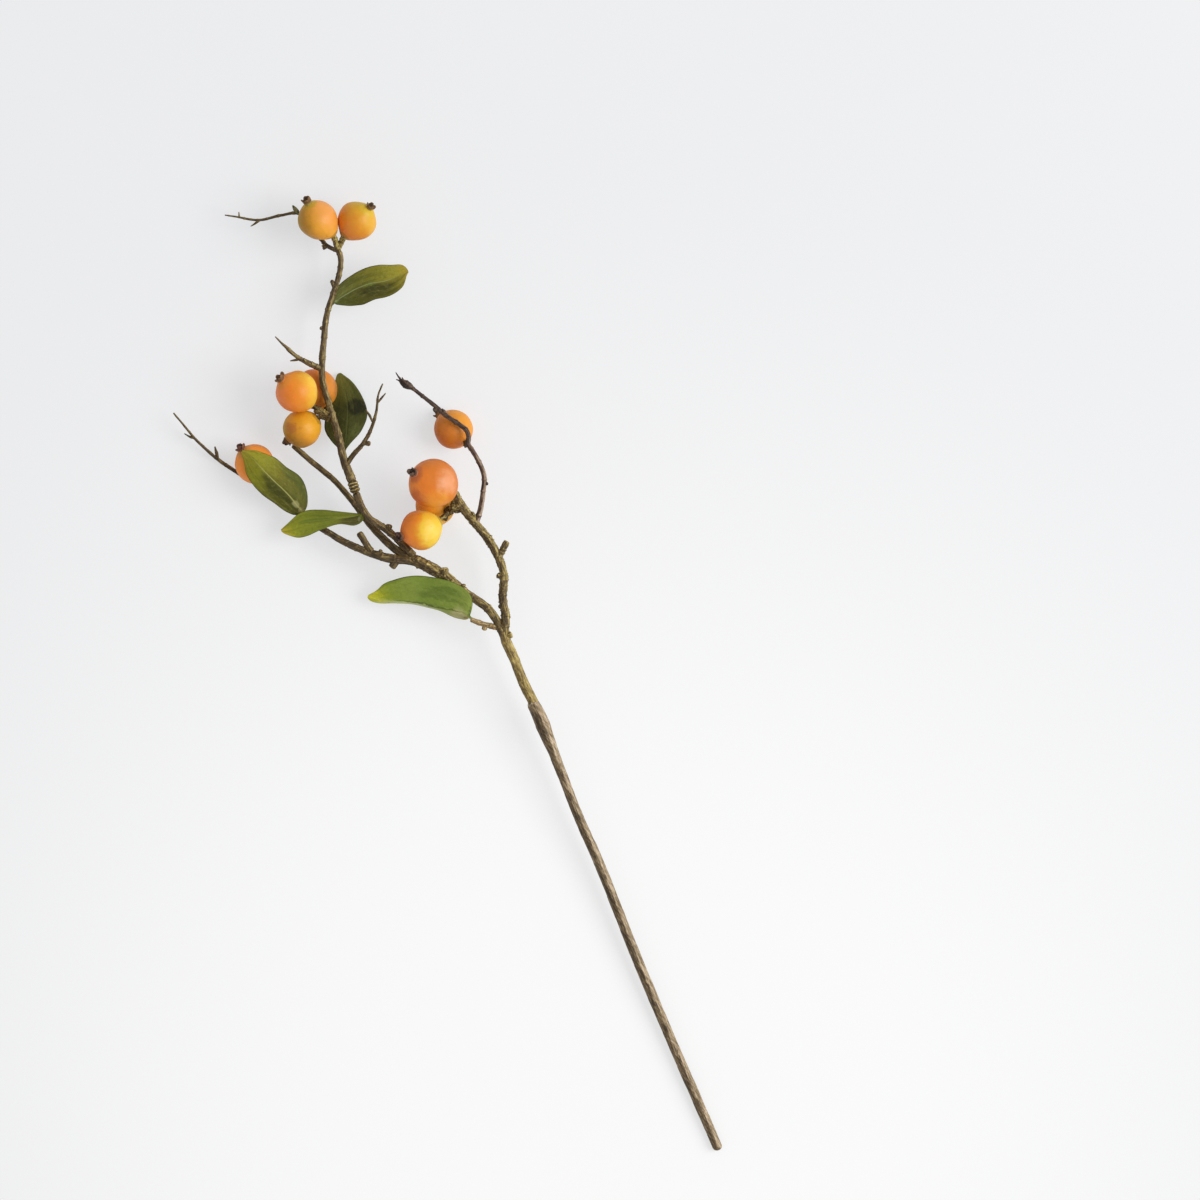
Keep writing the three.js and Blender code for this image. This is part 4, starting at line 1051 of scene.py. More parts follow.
# at is a berry's middle, eye and stalk are where those point, and warm is the side where the last of its
# stops lie. shape lists its dents, foot and brown are its crown's colours, and crown is its crown's scale.
BERRIES = {
    "top_left_berry": {
        "at": [-115, 255, 30.8], "radius": 12.4, "eye": [-0.4, 0.76, 0.52], "slot": "yellow_berry",
        "stalk": [0.7, -0.66, -0.28], "warm": [0.95, 0.1, 0.25],
        "shape": [([0.74, -0.66, -0.1], 0.17, 0.42), ([-0.5, -0.85, 0.1], -0.1, 0.6)],
        "stops": [
            (0.12, (176, 138, 34)), (0.3, (186, 132, 36)), (0.5, (222, 154, 42)), (0.85, (236, 164, 54))],
        "patches": [([0.5, 0.5, 0.6], (238, 158, 80), 0.35, 1.1)],
        "foot": (154, 138, 56), "brown": (118, 84, 44), "eye_tint": (196, 156, 46), "eye_spread": 0.95,
    },
    "top_right_berry": {
        "at": [-90.5, 254.8, 25.8], "radius": 12.1, "eye": [0.56, 0.58, 0.6], "slot": "orange_berry",
        "stalk": [-0.62, -0.72, 0.1], "warm": [-0.75, -0.65, 0.1],
        "shape": [
            ([-0.64, -0.76, 0], 0.13, 0.34), ([-0.6, 0.75, 0], 0.06, 0.5), ([0.95, 0.3, 0], -0.06, 0.35),
            ([0.2, -1, 0], -0.04, 0.5)],
        "stops": [
            (0.14, (214, 172, 34)), (0.36, (224, 162, 40)), (0.6, (222, 142, 38)), (0.9, (228, 134, 52))],
        "patches": [([0.95, -0.1, 0.2], (232, 172, 60), 0.6, 0.95)],
        "foot": (160, 140, 50), "brown": (118, 84, 44), "eye_tint": (218, 180, 46), "crown": 0.86,
    },
    "middle_upper_berry": {
        "at": [-128, 149, 36], "radius": 13, "eye": [-0.59, 0.5, 0.64], "slot": "orange_berry",
        "warm": [-0.95, -0.3, 0.1],
        "shape": [
            ([0.7, -0.7, -0.1], 0.07, 0.5), ([-0.85, 0.25, 0.1], -0.04, 0.4), ([-0.4, 0.9, 0], -0.06, 0.35)],
        "stops": [
            (0.04, (238, 190, 56)), (0.2, (234, 170, 50)), (0.38, (232, 146, 40)), (0.66, (240, 134, 38)),
            (0.95, (248, 140, 76))],
        "patches": [], "foot": (196, 124, 60), "brown": (138, 96, 56), "eye_tint": (228, 142, 52),
    },
    "middle_lower_berry": {
        "at": [-125, 126.1, 23.5], "radius": 11.7, "eye": [-0.62, -0.48, -0.58], "slot": "yellow_berry",
        "stalk": [0.8, 0.55, 0.24], "warm": [-0.62, -0.76, 0.0],
        "shape": [([0.8, 0.55, 0.1], 0.09, 0.45), ([-0.75, -0.65, 0.1], -0.12, 0.42)],
        # Its stops darken to olive brown towards the lower left, away from the lamp: partly its olive colour,
        # partly painted shade.
        "stops": [
            (0.26, (230, 164, 36)), (0.5, (226, 154, 34)), (0.68, (202, 134, 32)), (0.86, (172, 118, 28))],
        "patches": [
            ([-0.93, 0.1, 0.15], (196, 160, 52), 0.7, 1.0), ([-0.6, 0.05, 0.75], (190, 116, 40), 0.85, 0.98)],
        "foot": (120, 84, 40), "brown": (70, 38, 28),
    },
    "middle_back_berry": {
        "at": [-115.9, 150.9, 12.7], "radius": 12.6, "eye": [-0.95, -0.1, -0.25], "slot": "orange_berry",
        "stalk": [0.62, -0.56, 0.55], "warm": [-0.9, 0.3, 0.1], "shape": [([-0.65, 0.76, 0], 0.06, 0.5)],
        "stops": [(0.2, (214, 134, 42)), (0.45, (224, 132, 40)), (0.8, (232, 122, 42))],
        "patches": [([0.95, 0.1, 0.1], (174, 112, 46), 0.8, 1.05)],
        "foot": OLIVE, "brown": DRY,
    },
    "left_berry": {
        "at": [-154.5, 104.5, 12.7], "radius": 12.3, "eye": [-0.53, 0.66, 0.53], "slot": "orange_berry",
        "warm": [-0.6, -0.4, 0.2],
        # Its stops are painted brighter than its colour, most towards the shaded left: painted fill light.
        "stops": [(0.2, (240, 150, 56)), (0.6, (252, 150, 54)), (0.95, (255, 152, 54))],
        "patches": [], "foot": (168, 120, 60), "brown": (124, 74, 52), "eye_tint": (210, 144, 62),
    },
    "right_large_berry": {
        "at": [-43, 92, 39.6], "radius": 15.5, "eye": [-0.67, 0.36, 0.65], "slot": "orange_berry",
        "warm": [-0.8, -0.5, 0.0], "shape": [([0.1, -1, 0], -0.05, 0.6), ([0.72, -0.6, 0], 0.03, 0.4)],
        # Its stops brighten towards the lower left, away from the lamp: painted fill light.
        "stops": [
            (0.08, (216, 122, 44)), (0.42, (222, 124, 40)), (0.7, (242, 132, 42)), (0.95, (252, 146, 58))],
        # Its first patch, pale pink and facing the lamp, is a painted highlight.
        "patches": [
            ([0.6, 0.05, 0.75], (234, 160, 112), 0.74, 1.02), ([0.2, -0.85, 0.45], (238, 156, 42), 0.6, 1.05),
            ([-0.6, -0.7, 0.35], (210, 102, 34), 0.8, 1.0)],
        "foot": (176, 110, 78), "brown": (112, 86, 68), "eye_tint": (206, 112, 58), "length": 0.97,
        "eye_spread": 0.94,
    },
    "right_lower_berry": {
        "at": [-50.6, 63.2, 31.5], "radius": 12.4, "eye": [-0.87, -0.25, 0.42], "slot": "yellow_berry",
        "stalk": [0.84, 0.5, -0.1], "warm": [-0.98, -0.15, -0.1],
        "shape": [([0.87, 0.5, 0], 0.14, 0.4), ([-0.75, 0.66, 0], 0.05, 0.45), ([-0.7, -0.7, 0], -0.04, 0.4)],
        "stops": [
            (0.0, (244, 206, 66)), (0.38, (244, 198, 58)), (0.48, (240, 162, 44)), (0.6, (238, 140, 38)),
            (0.95, (246, 132, 56))],
        # Its patch, pale and facing the lamp, is a painted highlight.
        "patches": [([0.45, -0.1, 0.9], (250, 216, 110), 0.8, 1.0)],
        "foot": (128, 82, 48), "brown": (80, 52, 40), "eye_tint": (226, 122, 50), "eye_spread": 0.96,
    },
    "right_back_berry": {
        "at": [-42.2, 78.2, 12.4], "radius": 12.3, "eye": [-0.5, 0.6, -0.6], "slot": "orange_berry",
        "warm": [-0.8, 0.2, 0.0], "crown": 0.8,
        "stops": [(0.2, (244, 178, 50)), (0.6, (244, 160, 42)), (0.95, (244, 142, 40))],
        "patches": [], "foot": OLIVE, "brown": DRY,
    },
    "inner_berry": {
        "at": [-31, 126, 12.3], "radius": 12.1, "eye": [-0.6, 0.64, -0.48], "slot": "orange_berry",
        "warm": [-0.7, -0.6, 0.0],
        "stops": [(0.15, (232, 152, 46)), (0.45, (220, 132, 42)), (0.85, (210, 118, 42))],
        "patches": [], "foot": (150, 100, 50), "brown": DRY,
    },
}


# A crown sits at this share of its berry's radius, and the skin that makes its parts one has faces of this
# many metres.
CROWN_SEAT = 1.05
CROWN_GRAIN = 0.00017


def turned_to(direction, at):
    """Carries a shape made round the origin, axis up, to its place and direction."""
    turn = Vector((0, 0, 1)).rotation_difference(Vector(direction).normalized()).to_matrix().to_4x4()
    return Matrix.Translation(Vector(metres(at)[0])) @ turn


def press(mesh, middle, dents):
    """Presses a berry in, or draws it out, round some directions from its middle.

    A dent is a direction, the share of the radius that it adds or takes, and how wide it is, in radians.
    """
    away = places(mesh) - middle
    out = away / np.linalg.norm(away, axis=1)[:, None]
    reach = np.ones(len(away))
    for direction, share, width in dents:
        toward = np.array(direction) / np.linalg.norm(direction)
        angle = np.arccos(np.clip(out @ toward, -1, 1))
        reach += share * np.exp(-(angle / width) ** 2)
    move_to(mesh, middle + away * reach[:, None])


def stalk_direction(berry):
    """Where the stalk comes in: opposite the eye, but for a berry that hangs at a slant."""
    return berry.get("stalk", [-part for part in berry["eye"]])


for number, (name, berry) in enumerate(BERRIES.items()):
    radius = berry["radius"] * MM
    middle = metres(berry["at"])[0]
    carry = turned_to(berry["eye"], berry["at"])
    skin = skin_finish(
        name + " skin", middle, radius, berry["eye"], stalk_direction(berry), berry["warm"], berry["stops"],
        berry["patches"], berry.get("eye_tint", SHOULDER), berry.get("eye_spread", 0.9))
    sizes = {"Radius": radius, "Length": berry.get("length", 1.0), "Seed": 1.3 * number}
    body = made_by(BERRY_TREE, stand(name + "_form", bpy.data.meshes.new(name)), sizes, skin)
    body.transform(carry)
    press(body, middle, berry.get("shape", []))
    finish_piece(name + "_skin", body, berry["slot"], name)

    dry = crown_finish(name + " crown", middle, radius, berry["eye"], berry["foot"], berry["brown"])
    tuft = stand(name + "_tuft", bpy.data.meshes.new(name + "_crown"))
    crown = made_by(CROWN_TREE, tuft, {"Seed": 11 * number}, dry)
    crown.transform(Matrix.Scale(berry.get("crown", 1.0), 4))
    crown.transform(Matrix.Translation((0, 0, radius * CROWN_SEAT)))
    crown.transform(carry)
    whole = stand(name + "_whole", crown)
    remesh = whole.modifiers.new("one skin", "REMESH")
    remesh.mode = "VOXEL"
    remesh.voxel_size = CROWN_GRAIN
    remesh.use_smooth_shade = True
    mesh = plain_mesh(whole)
    mesh.materials.clear()
    mesh.materials.append(dry)
    finish_piece(name + "_sepals", mesh, "dry_crown", name + "_crown")


def stalk_side(name, share):
    """The place, a share of the radius out from a berry's middle, on the side of its stalk."""
    berry = BERRIES[name]
    out = np.array(stalk_direction(berry), float)
    return list(np.array(berry["at"]) + out / np.linalg.norm(out) * berry["radius"] * share)


# A stalk meets its berry and ends inside it at these shares of the radius.
STALK_MEETS, STALK_ENDS = 1.05, 0.82

STALKS = {
    "top_stalks": {
        "stalks": {
            "top_left_berry": [[-102.8, 237.2, 24.2], [-103.4, 240.5, 25]],
            "top_right_berry": [[-102.6, 237.4, 24], [-101, 240.8, 24.4]]},
        "radii": [1.9, 1.8, 1.9, 1.6], "material": STUB,
    },
    "middle_stalks": {
        "knuckle": [
            {"from": [-106.5, 133.4, 27.7], "to": [-117, 138.6, 26.6], "radius": 2.3, "tip": 0.9},
            {"from": [-107, 132.4, 26.6], "to": [-114, 135, 26.2], "radius": 2.2, "tip": 0.9}],
        "stalks": {
            "middle_upper_berry": [[-114, 137.4, 26.6]],
            "middle_lower_berry": [[-110, 134.2, 26.4]],
            "middle_back_berry": [[-110, 137, 26], [-108, 141, 22.5]]},
    },
    "left_berry_stalk": {"stalks": {"left_berry": [[-143, 86, 6.2], [-144.5, 91, 8]]}},
    "right_stalks": {
        "knuckle": [
            {"from": [-24.5, 78, 28.3], "to": [-33.6, 77.2, 28.4], "radius": 2.7, "tip": 0.8},
            {"from": [-25.5, 76, 28], "to": [-31, 75.4, 28], "radius": 1.8, "tip": 0.7}],
        "stalks": {
            "right_large_berry": [[-30.5, 78.6, 28.6]],
            "right_lower_berry": [[-31, 75, 28], [-35, 73, 28.6]],
            "right_back_berry": [[-32, 77, 28], [-35.5, 75.5, 23.5]]},
        "radii": [1.7, 1.45, 1.4, 1.4],
    },
    "inner_berry_stalk": {"stalks": {"inner_berry": [[-21.4, 116.8, 28.8], [-23.2, 116.2, 24.8]]}},
}

for number, (name, group) in enumerate(STALKS.items()):
    look = surface(0.35, 0.8, 0.4, 20.0 + 1.7 * number, **{"Scar spacing": 0.003, "Groove length": 0.0025})
    material = group.get("material", STALK)
    parts = knob_parts(name, group.get("knuckle", []), [], material, look)
    for berry, route in group["stalks"].items():
        whole = [*route, stalk_side(berry, STALK_MEETS), stalk_side(berry, STALK_ENDS)]
        parts.append(grow(name, whole, group.get("radii", [1.7, 1.5, 1.3, 1.4]), material, look, 0.4))
    finish_piece(name + "_wood", fuse(name, parts), "stalk", name)


# ---------------------------------------------------------------- the leaves

# The rings along a blade and along its stalk, and the steps across each half of the blade.
STATIONS = 96
STALK_STATIONS = 14
HALF_STEPS = 22

# All in millimetres: half the thickness of the leaf's stalk and of its sheet, the length over which one
# becomes the other, the midrib's width, its groove above and its ridge below, the veins' height and the
# blade's swell between them.
LEAF_STALK = 0.8
SHEET = 0.26
STALK_TO_SHEET = 5
RIB_WIDTH = 0.55
RIB_GROOVE = 0.16
RIB_RIDGE = 0.5
VEIN_HEIGHT = 0.04
BLADE_SWELL = 0.03

# Side veins: how far they run up the leaf for each millimetre off the midrib, how they bend, and a vein's
# share of the gap between two.
VEIN_SLANT = 0.75
VEIN_BEND = 0.018
VEIN_SHARE = 0.1


def at_share(values, share):
    """A list of widths read smoothly. Its places crowd towards the blade's two ends."""
    spots = np.arccos(np.clip(1 - 2 * share, -1, 1)) / math.pi * (len(values) - 1)
    padded = np.concatenate([[2 * values[0] - values[1]], values, [2 * values[-1] - values[-2]]])
    i = np.clip(np.floor(spots).astype(int), 0, len(values) - 2)
    t = spots - i
    a, b, c, d = (padded[i + k] for k in range(4))
    smooth = b + 0.5 * t * (c - a + t * (2 * a - 5 * b + 4 * c - d + t * (3 * (b - c) + d - a)))
    return np.maximum(smooth, 0.25)


def leaf_mesh(name, leaf, material):
    """A leaf with its stalk as one closed sheet: grooved along the midrib above and ribbed below."""
    blade, blade_along = smooth_run(leaf["midrib"])
    stalk, stalk_along = smooth_run([*leaf["stalk"], leaf["midrib"][0]])
    on_stalk = np.linspace(0, 1, STALK_STATIONS, endpoint=False)
    on_blade = 0.5 - 0.5 * np.cos(np.linspace(0, math.pi, STATIONS))
    centre = np.vstack([
        at_distance(stalk, stalk_along, on_stalk * stalk_along[-1]),
        at_distance(blade, blade_along, on_blade * blade_along[-1])])
    along = np.gradient(centre, axis=0)
    along /= np.linalg.norm(along, axis=1)[:, None]
    aside = np.cross([0.0, 0.0, 1.0], along)
    aside /= np.linalg.norm(aside, axis=1)[:, None]
    upward = np.cross(along, aside)
    share = np.concatenate([np.zeros(STALK_STATIONS), on_blade])
    length = share * blade_along[-1]
    opened = np.clip(length[STALK_STATIONS:] / STALK_TO_SHEET, 0, 1)
    spread = np.concatenate([np.zeros(STALK_STATIONS), opened])
    spread = spread * spread * (3 - 2 * spread)

    even = np.linspace(-1, 1, 2 * HALF_STEPS + 1)
    steps = even * (0.5 + 0.5 * np.abs(even))
    across = np.concatenate([steps, steps[-2:0:-1]])
    top = np.concatenate([np.ones(len(steps)), -np.ones(len(steps) - 2)])

    left, right = (at_share(leaf[side], share)[:, None] for side in ("left", "right"))
    half = np.where(across[None, :] > 0, left, right)
    half[:STALK_STATIONS] = LEAF_STALK
    reach = across[None, :] * half
    off = np.abs(reach)
    tangent = np.where(across > 0, *leaf["slopes"])[None, :] * np.minimum(1, np.abs(across) * 2)[None, :]
    tangent = tangent * spread[:, None]
    shift = np.where(across > 0, 0.6, 2.4)[None, :]
    wave = leaf["wave"] * np.sin(length[:, None] * TAU / leaf["wave_length"] + shift)
    rise = off * tangent + wave * (across ** 2)[None, :] * spread[:, None]
    rise += leaf["cup"] * (off / np.maximum(half, 1)) ** 2 * half * spread[:, None]

    # Side veins leave the midrib at a slant and bend towards the tip.
    phase = (length[:, None] - VEIN_SLANT * off - VEIN_BEND * off ** 2) / leaf["vein_gap"]
    vein = np.exp(-((phase - np.round(phase)) / VEIN_SHARE) ** 2)
    fade = np.clip(off / 1.2, 0, 1) * (1 - np.abs(across) ** 3)[None, :] * spread[:, None]
    fade = fade * np.clip((1 - share) * 6, 0, 1)[:, None]
    vein = vein * fade
    rib = np.exp(-(off / RIB_WIDTH) ** 2) * spread[:, None] * np.clip((1.02 - share) * 3, 0, 1)[:, None]
    round_off = np.sqrt(np.maximum(0, 1 - across ** 2))[None, :]
    flat_off = np.maximum(0, 1 - np.abs(across) ** 10)[None, :] ** 0.5
    depth = LEAF_STALK * round_off * (1 - spread[:, None]) + SHEET * flat_off * spread[:, None]
    above = depth - RIB_GROOVE * rib - VEIN_HEIGHT * vein + BLADE_SWELL * fade * np.cos(phase * TAU)
    beneath = -depth - RIB_RIDGE * rib - VEIN_HEIGHT * vein + BLADE_SWELL * fade * np.cos(phase * TAU)
    level = rise + np.where(top[None, :] > 0, above, beneath)
    points = centre[:, None, :] + aside[:, None, :] * reach[..., None] + upward[:, None, :] * level[..., None]

    rings, around = points.shape[:2]
    faces = []
    for i in range(rings - 1):
        for j in range(around):
            k = (j + 1) % around
            faces.append((i * around + j, i * around + k, (i + 1) * around + k, (i + 1) * around + j))
    faces.append(tuple(reversed(range(around))))
    faces.append(tuple((rings - 1) * around + j for j in range(around)))
    mesh = bpy.data.meshes.new(name)
    mesh.from_pydata(metres(points).tolist(), [], faces)
    below = np.broadcast_to(np.where(top > 0, 0.0, 1.0)[None, :], vein.shape)
    for label, values in (("vein", np.maximum(vein, rib * 0.8)), ("below", below)):
        layer = mesh.attributes.new(label, "FLOAT", "POINT")
        layer.data.foreach_set("value", values.astype(np.float32).ravel())
    corners = corner_vertices(mesh)
    spans = ((across[None, :] + 1) / 2, share[:, None])
    laid = np.stack([np.broadcast_to(span, vein.shape).ravel() for span in spans], axis=1)
    mesh.uv_layers.new(name="Blade").data.foreach_set("uv", laid[corners].astype(np.float32).ravel())
    mesh.polygons.foreach_set("use_smooth", np.ones(len(mesh.polygons), bool))
    mesh.materials.append(material)
    return mesh


# left and right are the half widths from the stalk to the tip, and close up towards both. slopes are how far
# each half rises for a millimetre off the midrib, the left one first, wave is how far its edge waves, and cup
# how much it curls up. In the finish, left and right are colours at even steps instead.
LEAVES = {
    "leaf_1": {
        "stalk": [[-19.6, 8.2, 23.2]],
        "midrib": [
            [-21, 9.6, 23], [-27, 12.2, 23], [-35, 13.9, 22.2], [-45.3, 15.8, 20.6], [-55.6, 18, 18.2],
            [-68, 19, 15], [-77, 19.6, 12.6], [-84.4, 22, 10.6]],
        "left": [0.8, 3.2, 3.9, 1.3, 0.9, 1, 1.5, 1.9, 0.4],
        "right": [0.8, 9.8, 16.6, 18.4, 17.6, 14.4, 9.8, 3.4, 0.4],
        "slopes": [-1.2, 0.45], "wave": 0.4, "wave_length": 21, "cup": -0.05, "vein_gap": 7.5,
        "finish": {
            # The pale colours of the steep left half are a painted sheen, and the yellow-green tip is painted
            # brighter: painted light.
            "left": [(168, 160, 96), (150, 162, 86), (204, 208, 160), (206, 212, 148), (210, 206, 52)],
            "right": [(136, 150, 68), (126, 144, 60), (122, 142, 56), (130, 146, 46), (192, 188, 42)],
            "tip": (220, 214, 48), "rib": (166, 178, 100), "edge": (84, 100, 38), "under": (140, 152, 84),
            "streak": 0.0, "crease": 0.35, "seed": 1.0,
            "bands": [
                ((184, 176, 126), 0.85, (0.7, 0.9), (0.1, 0.1)),
                ((84, 104, 38), 0.5, (-0.62, 0.12), (0.24, 0.16)),
                ((66, 78, 30), 0.75, (-0.03, 0.035), (0.4, 0.4)),
                ((86, 106, 38), 0.4, (-0.35, 0.09), (0.3, 0.22)),
                ((64, 78, 30), 0.8, (-0.3, 0.5), (0.0, 0.03)),
                ((150, 164, 76), 0.35, (-0.5, 0.5), (0.62, 0.16)),
                ((134, 104, 66), 0.7, (0.5, 0.3), (0.03, 0.03))]},
    },
    "leaf_2": {
        "stalk": [[-124.5, 71.8, 12.2]],
        "midrib": [
            [-124.5, 74.5, 14.2], [-134, 86, 20.4], [-142.4, 94.2, 25.2], [-150, 102, 28],
            [-155.4, 107.8, 28.2], [-161.8, 112.4, 26.4]],
        "left": [0.8, 5.4, 8.6, 10.3, 11.4, 10.6, 7.6, 3, 0.4],
        "right": [0.8, 5.4, 10.1, 13, 11.5, 10.4, 6, 2, 0.4],
        "slopes": [-0.35, -0.25], "wave": 0.5, "wave_length": 26, "cup": 0.04, "vein_gap": 7,
        "finish": {
            "left": [(82, 81, 28), (82, 81, 26), (99, 98, 28), (136, 135, 36), (158, 149, 42)],
            "right": [(94, 93, 32), (95, 95, 32), (112, 107, 28), (140, 138, 38), (166, 158, 48)],
            "tip": (164, 150, 50), "rib": (168, 166, 98), "edge": (56, 62, 22), "under": (128, 138, 78),
            "streak": 0.8, "crease": 0.3, "seed": 2.0,
            "bands": [
                # The first band, dark beside the midrib on the left half, is painted shade.
                ((68, 69, 24), 0.8, (0.24, 0.3), (0.4, 0.3)),
                ((162, 156, 108), 0.7, (0.05, 0.22), (0.13, 0.06)),
                ((140, 118, 84), 0.7, (0.1, 0.5), (0.02, 0.05)),
                ((76, 88, 36), 0.5, (-0.85, 0.3), (0.3, 0.3))]},
    },
    "leaf_3": {
        "stalk": [[-83.5, 73, 30]],
        "midrib": [
            [-86, 72.8, 28.5], [-98, 71, 25.5], [-113, 69.5, 23], [-126, 68, 20.5], [-138, 63.3, 16.5]],
        "left": [0.8, 3.8, 5.6, 3.6, 5.6, 8.8, 8.6, 4, 0.4],
        "right": [0.8, 1, 2.5, 4.5, 6.5, 6.7, 3.1, 1.2, 0.4],
        "slopes": [-0.3, -0.2], "wave": 0.3, "wave_length": 24, "cup": -0.03, "vein_gap": 7,
        "finish": {
            "left": [(108, 110, 42), (114, 116, 40), (120, 128, 42), (136, 142, 42), (168, 166, 44)],
            "right": [(134, 140, 52), (120, 126, 42), (114, 122, 40), (130, 138, 42), (168, 162, 42)],
            "tip": (188, 168, 54), "rib": (150, 158, 72), "edge": (80, 88, 34), "under": (126, 130, 64),
            "streak": 0.25, "crease": 0.3, "seed": 3.0,
            "bands": [
                ((88, 82, 42), 0.9, (0.5, 0.5), (0.17, 0.12)),
                ((112, 118, 54), 0.7, (0.92, 0.1), (0.2, 0.12)),
                # The next band is a painted shadow: the dark line where the blade folds over its lobe.
                ((46, 43, 21), 0.75, (0.14, 0.1), (0.19, 0.12)),
                ((138, 142, 62), 0.6, (-0.1, 0.12), (0.22, 0.16)),
                ((150, 146, 106), 0.7, (0.45, 0.3), (0.075, 0.02)),
                ((84, 98, 36), 0.5, (0.0, 0.2), (0.55, 0.25))]},
    },
    "leaf_4": {
        "stalk": [[-98, 106, 29.5], [-98.7, 109.5, 25.5]],
        "midrib": [
            [-98.5, 113, 21], [-97.5, 121, 15], [-97, 131, 10.2], [-97, 141, 6.4], [-98.8, 150, 4.1],
            [-102.2, 161.2, 3]],
        "left": [0.8, 5.4, 10, 14, 13.2, 9.6, 5.8, 2.8, 0.4],
        "right": [0.8, 1.4, 3.8, 9.4, 12.2, 9.6, 6.2, 2.4, 0.4],
        "slopes": [-0.12, -0.12], "wave": 0.35, "wave_length": 23, "cup": 0.03, "vein_gap": 7,
        "finish": {
            "left": [(66, 68, 28), (72, 74, 31), (66, 66, 27), (92, 90, 35), (110, 104, 42)],
            "right": [(72, 76, 33), (78, 80, 35), (66, 68, 28), (86, 86, 35), (106, 101, 40)],
            "tip": (112, 108, 42), "rib": (104, 110, 52), "edge": (42, 44, 18), "under": (98, 108, 56),
            "streak": 0.3, "crease": 0.35, "seed": 4.0,
            "bands": [
                ((32, 32, 16), 0.9, (-0.48, 0.62), (0.57, 0.09)), ((46, 50, 22), 0.5, (0.6, 0.4), (0.4, 0.2)),
                ((96, 104, 52), 0.4, (-0.6, 0.3), (0.3, 0.08))]},
    },
    "leaf_5": {
        "stalk": [[-108.5, 199.5, 25], [-107, 202.4, 23.8]],
        "midrib": [
            [-105, 204.6, 22], [-98.4, 209, 20.5], [-91.5, 213, 20], [-82, 216.5, 20.8], [-73, 218, 21.2],
            [-59, 224, 19]],
        "left": [0.8, 3.6, 7, 8.6, 10, 10.4, 7.6, 5, 0.4],
        "right": [0.8, 3.4, 7.6, 10.8, 10.5, 9.8, 7.3, 2, 0.4],
        "slopes": [0.15, 0.2], "wave": 0.4, "wave_length": 22, "cup": 0.05, "vein_gap": 6.5,
        "finish": {
            "left": [(86, 90, 38), (96, 98, 38), (116, 112, 38), (134, 128, 38), (160, 146, 44)],
            # The right half is painted darker, and the first band darkens it further: painted shade.
            "right": [(82, 86, 34), (82, 82, 30), (88, 84, 32), (100, 94, 32), (152, 140, 44)],
            "tip": (164, 144, 46), "rib": (150, 156, 104), "edge": (50, 52, 22), "under": (126, 132, 80),
            "streak": 0.62, "crease": 0.4, "seed": 5.0,
            "bands": [
                ((52, 54, 24), 0.6, (-0.35, 0.3), (0.55, 0.25)),
                ((104, 112, 44), 0.9, (0.0, 0.12), (0.5, 0.1))]},
    },
}

for name, leaf in LEAVES.items():
    material = leaf_finish(name + " green", **leaf["finish"])
    finish_piece(name + "_blade", leaf_mesh(name + "_blade", leaf, material), "leaf", name)


# ---------------------------------------------------------------- the table, the lights and the camera

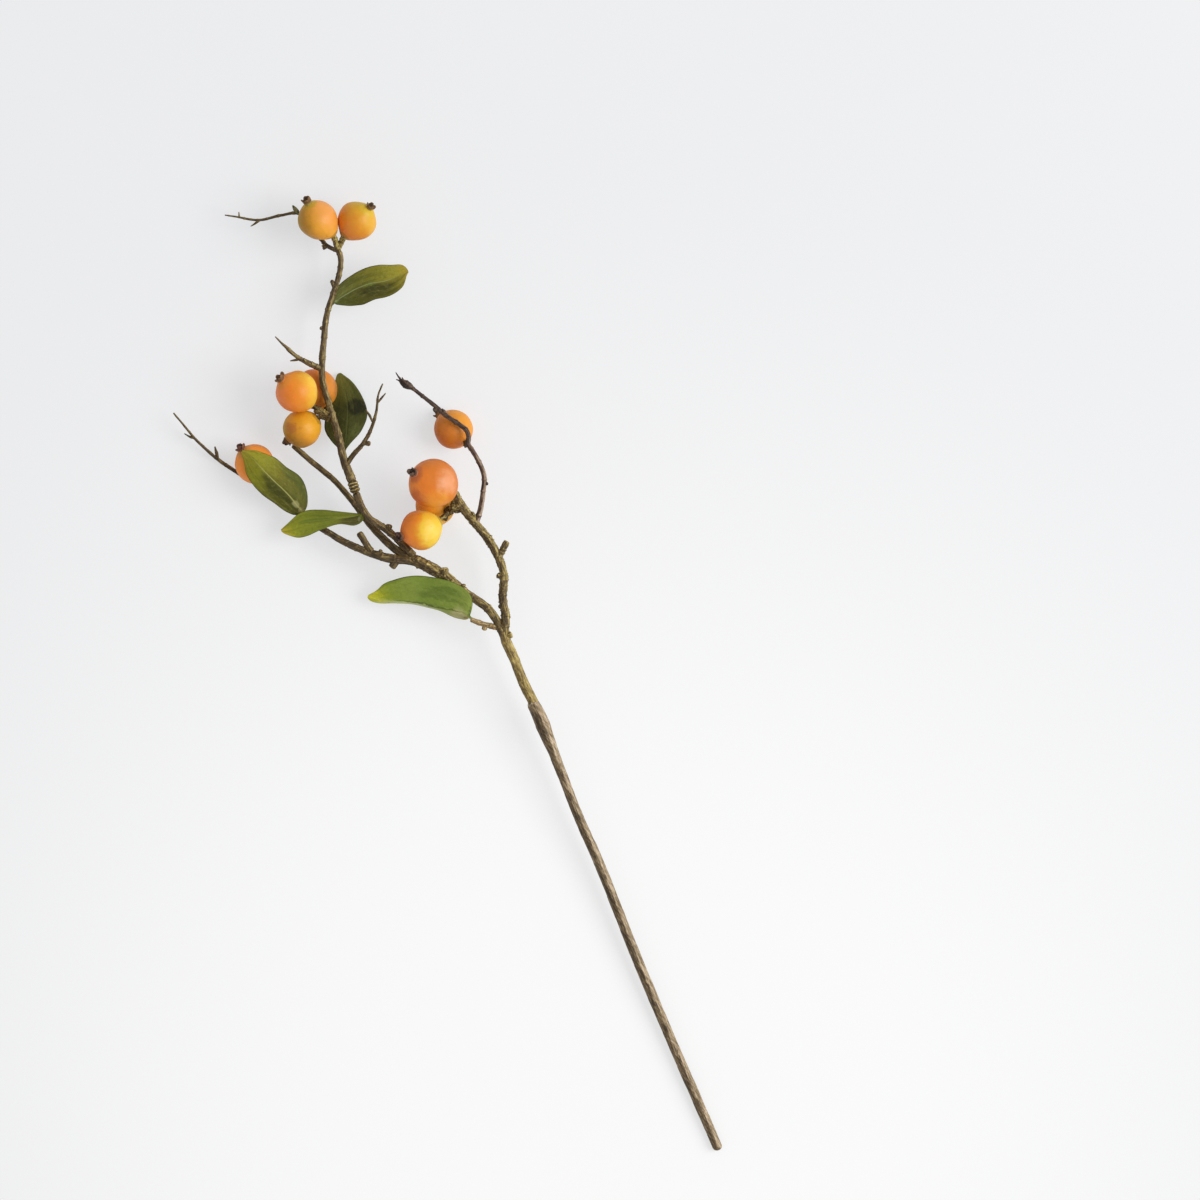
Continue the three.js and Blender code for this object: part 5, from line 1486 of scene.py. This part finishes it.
def table_finish():
    """A white table. The camera sees a glow in it too, so that the shadows on it are faint. That glow is a
    painted pool of light, white round one spot and greyer further out.
    """
    material, board = new_finish("white table")
    place = board.place()
    tone = board.noise(place, 1.6, 3.0)
    colour = board.blend(tone, paint(240, 240, 241), paint(245, 245, 245))
    relief = board.add("ShaderNodeBump", {}, {"Distance": 0.00002, "Height": board.noise(place, 900.0, 2.0)})
    sockets = {"Base Color": colour, "Roughness": 0.8, "Specular IOR Level": 0.2, "Normal": relief}
    lit = board.add("ShaderNodeBsdfPrincipled", {}, sockets)
    # A painted pool of light: the glow that the camera sees is white round this spot and greyer further out.
    away = board.vector("DISTANCE", place, (0.1, -0.26, 0.0), output="Value")
    white = board.blend(away.ease(0.12, 0.6), paint(255, 255, 255), paint(236, 237, 239))
    even = board.add("ShaderNodeEmission", {}, {"Color": white, "Strength": 1.0})
    seen = board.add("ShaderNodeLightPath", output="Is Camera Ray")
    both = board.add("ShaderNodeMixShader", {}, {0: seen * 0.62, 1: lit, 2: even})
    board.add("ShaderNodeOutputMaterial", {}, {"Surface": both})
    return material


TABLE_REACH = 6.0


def add_table():
    mesh = bpy.data.meshes.new("table")
    corners = [(x * TABLE_REACH, y * TABLE_REACH, 0) for x, y in ((-1, -1), (1, -1), (1, 1), (-1, 1))]
    mesh.from_pydata(corners, [], [(0, 1, 2, 3)])
    mesh.materials.append(table_finish())
    table = stand("table", mesh)


def add_lamp(name, place, target, size, power):
    lamp = bpy.data.lights.new(name, "AREA")
    lamp.shape = "RECTANGLE"
    lamp.size, lamp.size_y = size
    lamp.energy = power
    holder = stand(name, lamp)
    holder.location = place
    holder.rotation_euler = (Vector(target) - Vector(place)).to_track_quat("-Z", "Y").to_euler()


def add_room():
    """One big window to the right and a bright white room."""
    world = bpy.data.worlds.new("room")
    world.use_nodes = True
    glow = world.node_tree.nodes["Background"]
    glow.inputs["Color"].default_value = (1.0, 1.0, 1.0, 1.0)
    glow.inputs["Strength"].default_value = 0.5
    bpy.context.scene.world = world
    add_lamp("window light", place=(3.7, 0.3, 3.6), target=(0.0, 0.0, 0.0), size=(3.4, 3.4), power=200.0)


# The view is from straight above. Its middle is right of the sprig's own, where more stems of a bunch would
# lie, and its width in metres is true at VIEW_HEIGHT above the table.
VIEW_MIDDLE = (0.0945, 0.046)
VIEW_WIDTH = 0.744
VIEW_DISTANCE = 6.0
VIEW_HEIGHT = 0.025
SENSOR = 36.0


def add_camera():
    camera = bpy.data.cameras.new("camera")
    camera.sensor_width = SENSOR
    camera.lens = SENSOR * VIEW_DISTANCE / VIEW_WIDTH
    camera.clip_end = 20.0
    holder = stand("camera", camera)
    holder.location = (*VIEW_MIDDLE, VIEW_HEIGHT + VIEW_DISTANCE)
    bpy.context.scene.camera = holder


add_table()
add_room()
add_camera()
bpy.context.scene.view_settings.view_transform = "Standard"
